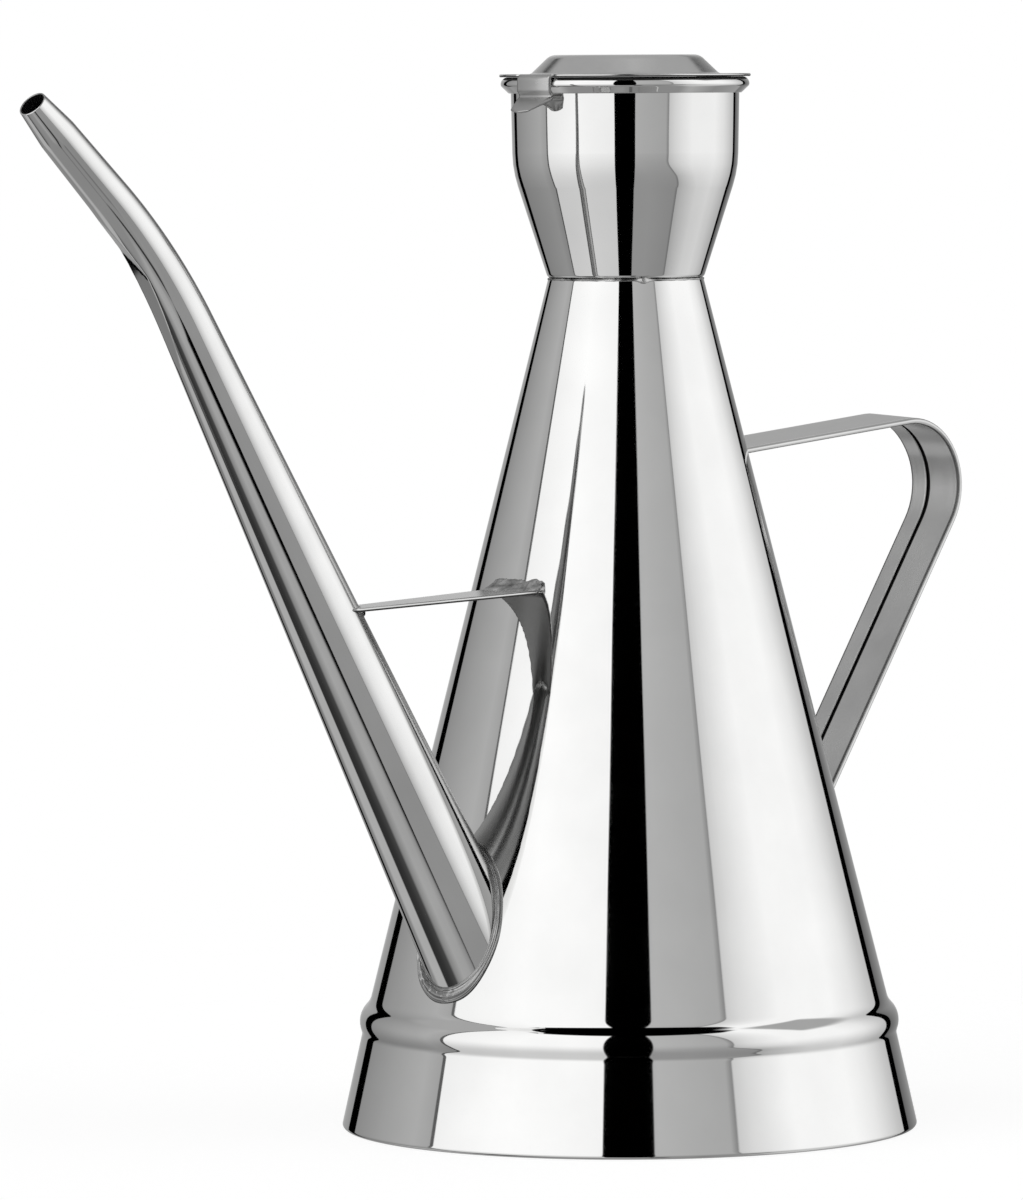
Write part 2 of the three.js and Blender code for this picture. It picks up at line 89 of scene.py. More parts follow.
# Neck funnel and the solder line under it
SPIGOT_LENGTH = 6 * MM
SHOULDER_WIDTH = 1.2 * MM
SHOULDER_BEND = 0.6 * MM
FLARE_HEIGHT = 23.8 * MM
FLARE_TOP_RADIUS = 24.4 * MM
FLARE_BEND = 24 * MM
MOUTH_RADIUS = 24.1 * MM
RIM_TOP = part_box("neck_funnel")[1].z
RIM_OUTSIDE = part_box("neck_funnel")[1].x
RIM_ROLL_HEIGHT = 3.4 * MM
RIM_ROLL_OPENING = 0.5 * MM
RIM_INNER_BEND = 1.1 * MM
RIM_CROWN_BEND = 1.5 * MM
RIM_NOSE_DROP = 1.85 * MM
RIM_NOSE_BEND = 0.75 * MM
NECK_SOLDER_RADIUS = 0.3 * MM
NECK_SOLDER_EVEN = 0.85
NECK_SOLDER_UNEVEN = 0.3
NECK_SOLDER_RIPPLES = 9
NECK_BLOB_TURN = math.radians(13)
NECK_BLOB_WIDTH = math.radians(4)
NECK_BLOB_SIZE = 0.6 * MM

# Lid and its spring tongues
LID_REST = 0.03 * MM
LID_OVERHANG = 0.3 * MM
LID_FLANGE_WIDTH = 6.8 * MM
DOME_SIDE_WIDTH = 4.3 * MM
DOME_HEIGHT = 4.1 * MM
DOME_TOP_BEND = 3 * MM
DOME_FOOT_BEND = 1.2 * MM
TONGUE_WIDTH = 10 * MM
TONGUE_BEND = 0.6 * MM
TONGUE_FLAT = 0.4 * MM
TONGUE_CRIMP_BEND = 1.2 * MM
TONGUE_CRIMP_DEPTH = 1.25 * MM
TONGUE_CRIMP_BELOW_ROLL = 0.9 * MM
TONGUE_SHANK_ABOVE_ROLL_FOOT = 0.6 * MM
TONGUE_LIP_REACH = 5.5 * MM
TONGUE_LIP_DROP = 3.3 * MM
TONGUE_ROUNDING = 3 * MM
TONGUE_TIP_SQUARED = 0.01
TONGUE_RELIEF = 0.6 * MM
# Painted shade over each whole tongue, which is also a little rougher
TONGUE_PAINTED_SHADE = 0.3

# Spout
SPOUT_ROOT_HEIGHT = 49.3 * MM
SPOUT_RISE = math.radians(59.5)
SPOUT_RUN = 166 * MM
SPOUT_BEND = 130 * MM
NOZZLE_RISE = math.radians(43.5)
NOZZLE_RUN = 44.8 * MM
SPOUT_ROOT_DIAMETER = 21.8 * MM
SPOUT_KNEE_DIAMETER = 11.3 * MM
SPOUT_BEND_DIAMETER = 9 * MM
NOZZLE_DIAMETER = 8.2 * MM
MOUTH_DIAMETER = 6.2 * MM
MOUTH_TAPER = 9 * MM
MOUTH_WALL = 0.35 * MM
SPOUT_REACH_INSIDE = 3 * MM
DENT_ABOVE = 13 * MM
DENT_BELOW = 26 * MM
DENT_DEPTH = 0.24
DENT_SKEW = -1.0
DENT_TURN = math.radians(17)
# Painted shade in the bore and on the spout's side turned to the cone, in streaks along the tube
SPOUT_PAINTED_SHADE = 0.6
BORE_PAINTED_SHADE = 0.5
SPOUT_SHADE_STREAKS = 0.18
SHADE_STREAK_COUNT = 7
SHADE_NEAR_TURN = math.radians(72)
SHADE_FAR_TURN = math.radians(-115)
SHADE_EDGE = math.radians(24)

# Solder round the spout's root: its reach along the spout and over the cone
COLLAR_ON_SPOUT = 0.7 * MM
COLLAR_ON_CONE = 1.5 * MM
COLLAR_FOOT_EXTRA = 1.6 * MM
COLLAR_FILL = 0.3 * MM
COLLAR_EDGE = 0.05 * MM
COLLAR_SUNK = 0.5 * MM
COLLAR_LIP = 0.3 * MM
COLLAR_LIP_AT = 0.86
COLLAR_LIP_WIDTH = 0.1
COLLAR_SEEN = 0.75
COLLAR_WANDER = 6 * MM
COLLAR_TOP_UNEVEN = 0.3
COLLAR_FOOT_UNEVEN = 0.15
COLLAR_CRUST = 0.9 * MM
COLLAR_CRUST_TURN = -2.3
COLLAR_ROUGHNESS = 0.3 * MM
COLLAR_STREAKS = 7
COLLAR_STREAK_TURN = 1.5
COLLAR_STREAK_DEPTH = 0.12 * MM
COLLAR_SMALL_TURN = math.radians(0.5)

# Brace and its solder
BRACE_HEIGHT = 117.9 * MM
BRACE_FALL = math.radians(2.07)
BRACE_ROLL = math.radians(0.95)
BRACE_TWIST = math.radians(3.6)
BRACE_WIDTH = 15.6 * MM
# Painted shade on the brace's underside and along the lower half of its edges
BRACE_UNDERSIDE_SHADE = 0.6
BRACE_EDGE_LINE = 0.025 * MM
BODY_SOLDER_LENGTH = 16.4 * MM
BODY_SOLDER_HEIGHT = 2.1 * MM
BODY_SOLDER_REACH = 2.3 * MM
BODY_SOLDER_HOLLOW = 0.35
BODY_SOLDER_SINK = 0.1
BODY_SOLDER_THIN = 0.25
BODY_SOLDER_SQUARE = 9
BODY_SOLDER_RAGGED = 2.6 * MM
BODY_SOLDER_FLOW = 0.7
BODY_SOLDER_GRAIN = 0.8
BODY_SOLDER_UNEVEN = 0.2
BODY_SOLDER_RISE = 1.02
BODY_SOLDER_FAR_FROM = -0.2
BODY_SOLDER_FAR_FULL = 0.9
BODY_SOLDER_FAR_EXTRA = 0.9
SPOUT_SOLDER_LENGTH = 11 * MM
SPOUT_SOLDER_HEIGHT = 1.3 * MM
SPOUT_SOLDER_REACH = 1.4 * MM
SPOUT_SOLDER_SQUARE = 0.6
SPOUT_SOLDER_UNEVEN = 0.22
SPOUT_SOLDER_RIPPLES = 2.2
SPOUT_SOLDER_STRETCH = 4
SPOUT_SOLDER_PATTERN = Vector((7, 0, 0))

# Handle
HANDLE_WIDTH = 15 * MM
NEAR_HEM = 8.65 * MM
FAR_HEM = 4.35 * MM
# Painted shade in the slot between the hems and along a line inside each fold
SLOT_SHADE_WIDTH = 1.6 * MM
HEM_GAP = 0.36 * MM
HANDLE_ROLL = math.radians(2.9)
# The handle's outer face is darkened a little and made rougher
HANDLE_OUTER_DARKENING = 0.2
HEM_SHADE_LINE = 0.8
HEM_LINE_FROM = 0.75
HANDLE_TOP_HEIGHT = 146.6 * MM
HANDLE_TOP_RISE = math.radians(5.4)
HANDLE_FOOT_HEIGHT = 58.6 * MM
HANDLE_FOOT_LEAN = math.radians(33.715)
HANDLE_BEND = 15.25 * MM
TAB_LENGTH = 12 * MM
TAB_BEND = 2.4 * MM
TAB_PRESS = 0.6
KNUCKLE_RUN = 3

# Painted shade on marked sides, which are also left rougher, and strip edges that the polisher leaves
# brighter, marked below 0 to be less rough
PAINTED_SHADE_GREY = 0.1
UNPOLISHED_ROUGHNESS = 0.4
BRIGHT_EDGE = -0.45

# Finishes: fine marks and haze of the steel, patches and streaks of the solder
STEEL_WARMTH = 0.994
NOISE_LOW = 0.3
NOISE_HIGH = 0.7
EVENLY = (1, 1, 1)
MARKS_DETAIL = 3.0
MARKS_STRENGTH = 0.02
MARKS_DEPTH = 0.02 * MM
HAZE_SCALE = 70.0
HAZE_DETAIL = 4.0
HAZE_SHARE = 0.6
PATCH_STRETCH = (1, 1, 2.5)
PATCH_SCALE = 260.0
PATCH_DETAIL = 3.0
STREAK_STRETCH = (1, 1, 0.3)
STREAK_SCALE = 3.2
STREAK_DETAIL = 2.0
SOLDER_STRENGTH = 0.7
SOLDER_DEPTH = 0.2 * MM

# Colour sockets of a Mix node
COLOUR_A, COLOUR_B, COLOUR_RESULT = 6, 7, 2

# Fineness: steps round and along, and how near two places count as one
SPIN_STEPS = 256
TUBE_STEPS = 96
RING_STEPS = 240
SOLDER_SECTION_STEPS = 28
TONGUE_STEPS = 28
BEND_STEP = math.radians(6)
FEWEST_BEND_STEPS = 3
EDGE_STEPS = 12
HOLD = 0.25 * MM
MOST_HOLD = 0.25
TOUCHING = 0.0025 * MM
SEAM_FOUND = 0.00025 * MM
TURN_DIGITS = 5
LONGEST_STEP = 6 * MM
SPOUT_STEP = 1.2 * MM
BRACE_STEPS = 24
SOLDER_ROUNDS = 5
SOLDER_MARKS = 60
ROUGH_DETAIL = 3
LUMP_DETAIL = 4
FLOOR_STEPS = 96

# Photograph: its frame, where the cruet's axis and the eye level cross it, its scale and viewpoint
PHOTO_WIDTH = 1023
PHOTO_HEIGHT = 1200
PHOTO_AXIS_X = 627.5
PHOTO_EYE_Y = 76.5
PHOTO_PIXEL = 0.2168 * MM
SENSOR = 36
NEAREST_SEEN = 0.1
EYE_DISTANCE = 1.9
EYE_HEIGHT = 228.2 * MM
EYE_AZIMUTH = math.radians(-44)
EYE_ROLL = math.radians(0.30)
TOWARDS_EYE = Vector((math.sin(EYE_AZIMUTH), -math.cos(EYE_AZIMUTH), 0))
EYE_RIGHT = Vector((math.cos(EYE_AZIMUTH), math.sin(EYE_AZIMUTH), 0))


# Bent lines

class Run(NamedTuple):
    """A straight or evenly curved stretch of a line."""

    begins: float
    length: float
    start: Vector
    angle: float
    curve: float


class BentLine:
    """Straight runs and round bends through corners (across, up, bend), measured along the line."""

    def __init__(self, *corners):
        places = [Vector(corner[:2]) for corner in corners]
        self.runs = []
        self.length = 0.0
        start = places[0]
        for i in range(1, len(places)):
            way = (places[i] - places[i - 1]).normalized()
            if i == len(places) - 1:
                self._add(start, way, (places[i] - start).length, 0.0)
                break
            onward = (places[i + 1] - places[i]).normalized()
            turn = math.atan2(way.x * onward.y - way.y * onward.x, way.dot(onward))
            bend = corners[i][2]
            setback = bend * math.tan(abs(turn) / 2)
            bend_start = places[i] - way * setback
            self._add(start, way, (bend_start - start).length, 0.0)
            if setback:
                self._add(bend_start, way, bend * abs(turn), math.copysign(1 / bend, turn))
            start = places[i] + onward * setback

    def _add(self, start, way, length, curve):
        if length > TOUCHING:
            self.runs.append(Run(self.length, length, start, math.atan2(way.y, way.x), curve))
            self.length += length

    def at(self, distance):
        """Place and heading at a distance along the line, straight on past its ends."""
        run = next((r for r in self.runs if distance <= r.begins + r.length), self.runs[-1])
        along = distance - run.begins
        angle = run.angle + run.curve * along
        way = Vector((math.cos(angle), math.sin(angle)))
        if run.curve == 0:
            return run.start + way * along, way
        swing = Vector((math.sin(angle) - math.sin(run.angle), math.cos(run.angle) - math.cos(angle)))
        return run.start + swing / run.curve, way

    def beside(self, distance, leftward):
        """Place beside the line, so far to the left of its heading."""
        place, way = self.at(distance)
        return place + left_of(way) * leftward

    def stations(self, longest=math.inf):
        """Distances that draw the line: close round bends, with a hold beside each bend."""
        marks = [0.0]
        for run in self.runs:
            if run.curve:
                bend_steps = math.ceil(run.length * abs(run.curve) / BEND_STEP)
                steps = max(FEWEST_BEND_STEPS, bend_steps, math.ceil(run.length / longest))
                shares = [k / steps for k in range(1, steps + 1)]
            else:
                hold = min(HOLD / run.length, MOST_HOLD)
                steps = max(1, math.ceil(run.length / longest))
                shares = [hold, *(k / steps for k in range(1, steps)), 1 - hold, 1]
            marks += [run.begins + share * run.length for share in shares]
        return marks

    def sheet(self, left, right, from_axis=False):
        """Outline of a sheet, so far to the left and right of the line, its edges rounded."""
        marks = self.stations()
        outline = [self.beside(mark, left) for mark in marks]
        outline += self._edge(self.length, left, right, 1)
        outline += [self.beside(mark, -right) for mark in reversed(marks)]
        return outline if from_axis else outline + self._edge(0, left, right, -1)

    def _edge(self, distance, left, right, sense):
        """Half-round edge of a sheet at one end of its line."""
        place, way = self.at(distance)
        middle = place + left_of(way) * (left - right) / 2
        radius = sense * (left + right) / 2
        return half_round(middle, left_of(way) * radius, way * radius)


def left_of(way):
    return Vector((-way.y, way.x))


def half_round(middle, side, ahead):
    """Points of a half circle from one side, round ahead, to the other, without its two ends."""
    turns = [math.pi * k / EDGE_STEPS for k in range(1, EDGE_STEPS)]
    return [middle + side * math.cos(turn) + ahead * math.sin(turn) for turn in turns]


def blend(low, high, share):
    return low + (high - low) * share


def smooth_share(value, start, end):
    """0 up to start, 1 from end on, and an even curve between."""
    share = min(max((value - start) / (end - start), 0.0), 1.0)
    return share * share * (3 - 2 * share)


# Shared lines of the cone and funnel

cone_slope = (SKIRT_TOP_RADIUS - NECK_RADIUS) / (NECK_HEIGHT - SKIRT_HEIGHT)
skirt_slope = (SKIRT_EDGE_RADIUS - SKIRT_TOP_RADIUS) / SKIRT_HEIGHT
flare_top = NECK_HEIGHT + FLARE_HEIGHT
roll_foot = RIM_TOP - RIM_ROLL_HEIGHT


def cone_radius(height):
    return NECK_RADIUS + cone_slope * (NECK_HEIGHT - height)


def skirt_radius(height):
    return SKIRT_EDGE_RADIUS - skirt_slope * height


# Mesh making

def wire(outline, closed=True):
    """A bmesh that holds an outline in the upright plane through X."""
    bm = bmesh.new()
    verts = [bm.verts.new((point.x, 0, point.y)) for point in outline]
    ends = zip(verts, verts[1:] + verts[:1]) if closed else zip(verts, verts[1:])
    for a, b in ends:
        bm.edges.new((a, b))
    return bm


def merged(bm):
    """Doubles merged and faces turned outwards."""
    bmesh.ops.remove_doubles(bm, verts=bm.verts, dist=TOUCHING)
    bmesh.ops.recalc_face_normals(bm, faces=bm.faces)
    return bm


def turned(outline, closed=True, steps=SPIN_STEPS):
    """An outline turned about Z."""
    bm = wire(outline, closed)
    geometry = bm.verts[:] + bm.edges[:]
    bmesh.ops.spin(bm, geom=geometry, axis=(0, 0, 1), angle=FULL_TURN, steps=steps, use_merge=True)
    return merged(bm)


def shaped(bm, place):
    """Each vertex moved by a function of its place, which is kept for the finish to follow."""
    straight = bm.verts.layers.float_vector.new("straight")
    for vert in bm.verts:
        vert[straight] = vert.co
        vert.co = place(vert.co.copy())
    return merged(bm)


def painted_shade_and_dull(bm, share_at):
    """Vertices marked with the share of painted shade, also made rougher, at their place; below 0 is
    brighter, being less rough.
    """
    mark = bm.verts.layers.float.new("painted_shade_and_dull")
    for vert in bm.verts:
        vert[mark] = share_at(vert.co)
    return bm


def on_spout_side(bm):
    bmesh.ops.transform(bm, matrix=TO_SPOUT_SIDE, verts=bm.verts)
    return bm


def edges_of(geometry):
    return [part for part in geometry if isinstance(part, bmesh.types.BMEdge)]


def placed(name, bm, material):
    """A bmesh made an object of the scene, with its finish."""
    mesh = bpy.data.meshes.new(name)
    bm.to_mesh(mesh)
    bm.free()
    mesh.materials.append(material)
    made = bpy.data.objects.new(name, mesh)
    bpy.context.scene.collection.objects.link(made)
    return made


def piece(name, bm, material, slot, body, *nodes):
    """A finished piece: smooth faces, its finish, the body it rides on and the nodes it stands for."""
    for face in bm.faces:
        face.smooth = True
    made = placed(name, bm, material)
    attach(made, body)
    if nodes:
        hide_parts(*nodes)


# Body, bottom and funnel

def cone_shell():
    """Cone, swaged bead and flared skirt with its foot edge rolled in."""
    bead_top = SKIRT_HEIGHT + BEAD_HEIGHT
    crest = SKIRT_HEIGHT + BEAD_CREST_HEIGHT
    outside = BentLine(
        (NECK_RADIUS, NECK_HEIGHT),
        (cone_radius(bead_top), bead_top, BEAD_UPPER_BEND),
        (cone_radius(crest) + BEAD_PROUD, crest, BEAD_CREST_BEND),
        (SKIRT_TOP_RADIUS, SKIRT_HEIGHT, BEAD_LOWER_BEND),
        (SKIRT_EDGE_RADIUS, 0, FOOT_ROLL_BEND),
        (SKIRT_EDGE_RADIUS - FOOT_LAND, 0),
    )
    return turned(outside.sheet(0, BODY_SHEET))


def bottom_pan():
    """A shallow pan inside the skirt, its floor dished up."""
    underside = BODY_SHEET + SEAT_GAP
    inset = underside * math.hypot(1, skirt_slope)
    wall_top = underside + PAN_WALL_HEIGHT
    line = BentLine(
        (0, underside + PAN_DISH_DEPTH),
        (PAN_DISH_RADIUS, underside + PAN_DISH_DEPTH, PAN_DISH_BEND),
        (PAN_DISH_RADIUS + PAN_DISH_SLOPE, underside, PAN_DISH_BEND),
        (skirt_radius(underside) - inset, underside, PAN_BEND),
        (skirt_radius(wall_top) - inset, wall_top),
    )
    return turned(line.sheet(PAN_SHEET, 0, from_axis=True), closed=False)


def neck_funnel():
    """Filling cup: a spigot in the cone's neck, a wide flare and a rolled rim."""
    spigot = NECK_RADIUS - BODY_SHEET * math.hypot(1, cone_slope) - SEAT_GAP - FUNNEL_SHEET
    shoulder = NECK_HEIGHT + SEAT_GAP + FUNNEL_SHEET
    bore = BentLine(
        (spigot, NECK_HEIGHT - SPIGOT_LENGTH),
        (spigot, shoulder, SHOULDER_BEND),
        (spigot + SHOULDER_WIDTH, shoulder, SHOULDER_BEND),
        (FLARE_TOP_RADIUS - FUNNEL_SHEET, flare_top, FLARE_BEND),
        (MOUTH_RADIUS, RIM_TOP, RIM_INNER_BEND),
        (RIM_OUTSIDE, RIM_TOP, RIM_CROWN_BEND),
        (RIM_OUTSIDE, RIM_TOP - RIM_NOSE_DROP, RIM_NOSE_BEND),
        (MOUTH_RADIUS + FUNNEL_SHEET + RIM_ROLL_OPENING, roll_foot),
    )
    return turned(bore.sheet(0, FUNNEL_SHEET))


def roughness(place, detail, grain=1.0):
    """Uneven flow of solder at a place, about 0."""
    return noise.fractal(place, grain, 2.0, detail)


def solder_ring(section_at):
    """A closed ring of solder: section_at places a turn round the ring and a turn round its section."""
    ring_radius = 2
    turns = [FULL_TURN * k / SOLDER_SECTION_STEPS for k in range(SOLDER_SECTION_STEPS)]
    section = [Vector((math.cos(turn) + ring_radius, math.sin(turn))) for turn in turns]
    ring = turned(section, steps=RING_STEPS)

    def place(co):
        turn = math.atan2(co.y, co.x)
        return section_at(turn, math.atan2(co.z, math.hypot(co.x, co.y) - ring_radius))

    return shaped(ring, place)


def neck_solder():
    """The thin line of solder under the funnel, with one blob towards the eye."""
    towards = math.atan2(TOWARDS_EYE.y, TOWARDS_EYE.x) + NECK_BLOB_TURN

    def place(turn, round_section):
        off = math.remainder(turn - towards, FULL_TURN) / NECK_BLOB_WIDTH
        rough = roughness(Vector((math.cos(turn), math.sin(turn), 0)) * NECK_SOLDER_RIPPLES, ROUGH_DETAIL)
        radius = NECK_SOLDER_RADIUS * (NECK_SOLDER_EVEN + NECK_SOLDER_UNEVEN * rough)
        radius += NECK_BLOB_SIZE * math.exp(-off * off)
        across = NECK_RADIUS - NECK_SOLDER_RADIUS / 2 + radius * math.cos(round_section)
        up = NECK_HEIGHT + SEAT_GAP / 2 + radius * math.sin(round_section)
        return Vector((across * math.cos(turn), across * math.sin(turn), up))

    return solder_ring(place)


# Lid

def lid_with_tongues():
    """Domed plate with two spring tongues that clip under the rim."""
    flange_under = RIM_TOP + LID_REST
    flange_top = flange_under + LID_SHEET
    flange_edge = RIM_OUTSIDE + LID_OVERHANG
    dome_top = flange_top + DOME_HEIGHT
    dome_foot = flange_edge - LID_FLANGE_WIDTH
    tongue_face = RIM_OUTSIDE + SEAT_GAP
    tongue_root = tongue_face - TONGUE_BEND - TONGUE_FLAT
    plate_line = BentLine(
        (0, dome_top),
        (dome_foot - DOME_SIDE_WIDTH, dome_top, DOME_TOP_BEND),
        (dome_foot, flange_top, DOME_FOOT_BEND),
        (flange_edge - LID_SHEET / 2, flange_top),
    )
    plate = turned(plate_line.sheet(0, LID_SHEET, from_axis=True), closed=False)
    # Painted shadow: the flange's underside and the lower half of its edge are painted dark, for the
    # shadow gap over the rim
    painted_shade_and_dull(plate, lambda co: 1.0 if co.z < flange_top - LID_SHEET / 2 else 0.0)

    def notched(co):
        """The flange drawn in where a tongue bends down from it."""
        radius = math.hypot(co.x, co.y)
        if radius <= tongue_root or abs(co.y) > TONGUE_WIDTH / 2 + TONGUE_RELIEF:
            return co
        return Vector((co.x * tongue_root / radius, co.y * tongue_root / radius, co.z))

    shaped(plate, notched)
    for matrix in (Matrix.Identity(4), TO_SPOUT_SIDE):
        tongue = spring_tongue(tongue_root, tongue_face, flange_under)
        # Painted shade over the whole of each tongue, which is also a little rougher
        painted_shade_and_dull(tongue, lambda co: TONGUE_PAINTED_SHADE)
        bmesh.ops.transform(tongue, matrix=matrix, verts=tongue.verts)
        joined(plate, tongue)
    return plate


def joined(bm, other):
    """The second bmesh's faces put into the first."""
    mesh = bpy.data.meshes.new("joining")
    other.to_mesh(mesh)
    other.free()
    bm.from_mesh(mesh)
    bpy.data.meshes.remove(mesh)


def spring_tongue(root, face, flange_under):
    """One tongue: over the rolled rim, in under it, then out to a rounded lip."""
    crimp_face = face - TONGUE_CRIMP_DEPTH
    crimp = roll_foot - TONGUE_CRIMP_BELOW_ROLL
    end = crimp - TONGUE_LIP_DROP
    inside = BentLine(
        (root - LID_SHEET / 2, flange_under),
        (face, flange_under, TONGUE_BEND),
        (face, roll_foot + TONGUE_SHANK_ABOVE_ROLL_FOOT, TONGUE_BEND),
        (crimp_face, crimp, TONGUE_CRIMP_BEND),
        (crimp_face + TONGUE_LIP_REACH, end),
    )
    bm = wire(inside.sheet(LID_SHEET, 0))
    first = bm.edges[:]
    spread = TONGUE_WIDTH / face
    geometry = bm.verts[:] + first
    spun = bmesh.ops.spin(bm, geom=geometry, axis=(0, 0, 1), angle=spread, steps=TONGUE_STEPS)
    bmesh.ops.edgeloop_fill(bm, edges=first)
    bmesh.ops.edgeloop_fill(bm, edges=edges_of(spun["geom_last"]))
    bmesh.ops.rotate(bm, matrix=Matrix.Rotation(-spread / 2, 3, "Z"), verts=bm.verts)

    def rounded(co):
        """The lip narrowed to a round end, and the sides kept parallel."""
        below = min(max((end + TONGUE_ROUNDING - co.z) / TONGUE_ROUNDING, 0.0), 1.0)
        share = math.sqrt(max(1 - below * below, TONGUE_TIP_SQUARED)) * face / math.hypot(co.x, co.y)
        return Vector((co.x, co.y * share, co.z))

    return shaped(bm, rounded)


# Spout, laid out along +X and then turned to its side

spout_root = Vector((cone_radius(SPOUT_ROOT_HEIGHT), SPOUT_ROOT_HEIGHT))
along_rise = Vector((math.cos(SPOUT_RISE), math.sin(SPOUT_RISE)))
along_nozzle = Vector((math.cos(NOZZLE_RISE), math.sin(NOZZLE_RISE)))
spout_start = -SPOUT_ROOT_DIAMETER
spout_elbow = spout_root + along_rise * SPOUT_RUN
spout_axis = BentLine(
    spout_root + along_rise * spout_start,
    (*spout_elbow, SPOUT_BEND),
    spout_elbow + along_nozzle * NOZZLE_RUN,
)
spout_knee = SPOUT_RUN - SPOUT_BEND * math.tan((SPOUT_RISE - NOZZLE_RISE) / 2)
spout_bend_end = spout_knee + SPOUT_BEND * (SPOUT_RISE - NOZZLE_RISE)
spout_tip = spout_axis.length + spout_start
SPOUT_SIZES = (
    (0, SPOUT_ROOT_DIAMETER),
    (spout_knee, SPOUT_KNEE_DIAMETER),
    (spout_bend_end, SPOUT_BEND_DIAMETER),
    (spout_tip - MOUTH_TAPER, NOZZLE_DIAMETER),
    (spout_tip, MOUTH_DIAMETER),
)


def spout_radius(distance):
    """Outside radius of the spout at a distance from its root."""
    pairs = list(zip(SPOUT_SIZES, SPOUT_SIZES[1:]))
    a, b = next((pair for pair in pairs if distance <= pair[1][0]), pairs[-1])
    return blend(a[1], b[1], (distance - a[0]) / (b[0] - a[0])) / 2


def beside_spout(distance, upper, sideways):
    """Place so far above and beside the spout's axis, at a distance from its root."""
    place = spout_axis.beside(distance - spout_start, upper)
    return Vector((place.x, sideways, place.y))


def spout_wall(distance):
    return blend(SPOUT_WALL, MOUTH_WALL, smooth_share(distance, spout_bend_end, spout_tip))


def in_bore(co):
    """Whether a place on the straight tube is on its inner side."""
    return math.hypot(co.x, co.y) < spout_radius(co.z) - spout_wall(co.z) / 2


def spout_painted_shade(co):
    """Painted shade in the bore, and on the side turned to the cone in streaks along the tube; both are
    also rougher.
    """
    if in_bore(co):
        return BORE_PAINTED_SHADE
    turn = math.atan2(co.y, co.x)
    edge = min(SHADE_NEAR_TURN - turn, turn - SHADE_FAR_TURN)
    streaks = SPOUT_SHADE_STREAKS * math.sin(turn * SHADE_STREAK_COUNT)
    return smooth_share(edge, 0, SHADE_EDGE) * (SPOUT_PAINTED_SHADE + streaks)


def spout_tube():
    """A spun tube bent along the spout's line, its underside creased by the bending."""
    marks = [mark + spout_start for mark in spout_axis.stations(SPOUT_STEP)]
    marks[-1] -= MOUTH_WALL / 2
    outside = [Vector((spout_radius(mark), mark)) for mark in marks]
    inside = [Vector((point.x - spout_wall(point.y), point.y)) for point in outside]
    lip_middle = (outside[-1] + inside[-1]) / 2
    lip = half_round(lip_middle, Vector((MOUTH_WALL / 2, 0)), Vector((0, MOUTH_WALL / 2)))
    tube = turned([*outside, *lip, *reversed(inside)], steps=TUBE_STEPS)
    painted_shade_and_dull(tube, spout_painted_shade)
    crease = (spout_knee + spout_bend_end) / 2
    dent = Vector((-math.cos(DENT_TURN), -math.sin(DENT_TURN)))

    def bent(co):
        """The tube along its axis, flattened where the bending creased it."""
        past = co.z - crease - DENT_SKEW * co.y
        share = max(1 - past / DENT_ABOVE if past > 0 else 1 + past / DENT_BELOW, 0.0)
        limit = spout_radius(co.z) * (1 - DENT_DEPTH * share)
        if in_bore(co):
            limit -= spout_wall(co.z)
        over = max(co.xy.dot(dent) - limit, 0.0) if share else 0.0
        return beside_spout(co.z, *(co.xy - dent * over))

    shaped(tube, bent)
    normal = Vector((1, 0, cone_slope)).normalized()
    cut_at = Vector((spout_root.x, 0, spout_root.y)) - normal * SPOUT_REACH_INSIDE
    geometry = tube.verts[:] + tube.edges[:] + tube.faces[:]
    cut = bmesh.ops.bisect_plane(tube, geom=geometry, plane_co=cut_at, plane_no=normal, clear_inner=True)
    bmesh.ops.bridge_loops(tube, edges=edges_of(cut["geom_cut"]))
    bmesh.ops.recalc_face_normals(tube, faces=tube.faces)
    return on_spout_side(tube)


def on_spout_skin(distance, turn):
    radius = spout_radius(distance)
    return beside_spout(distance, radius * math.cos(turn), radius * math.sin(turn))


@functools.lru_cache(maxsize=None)
def where_spout_meets_cone(turn):
    """Distance along the spout at which its skin leaves the cone's, at a turn round the spout."""
    inside, outside = spout_start, SPOUT_ROOT_DIAMETER
    while outside - inside > SEAM_FOUND:
        middle = (inside + outside) / 2
        point = on_spout_skin(middle, turn)
        if math.hypot(point.x, point.y) < cone_radius(point.z):
            inside = middle
        else:
            outside = middle
    return middle


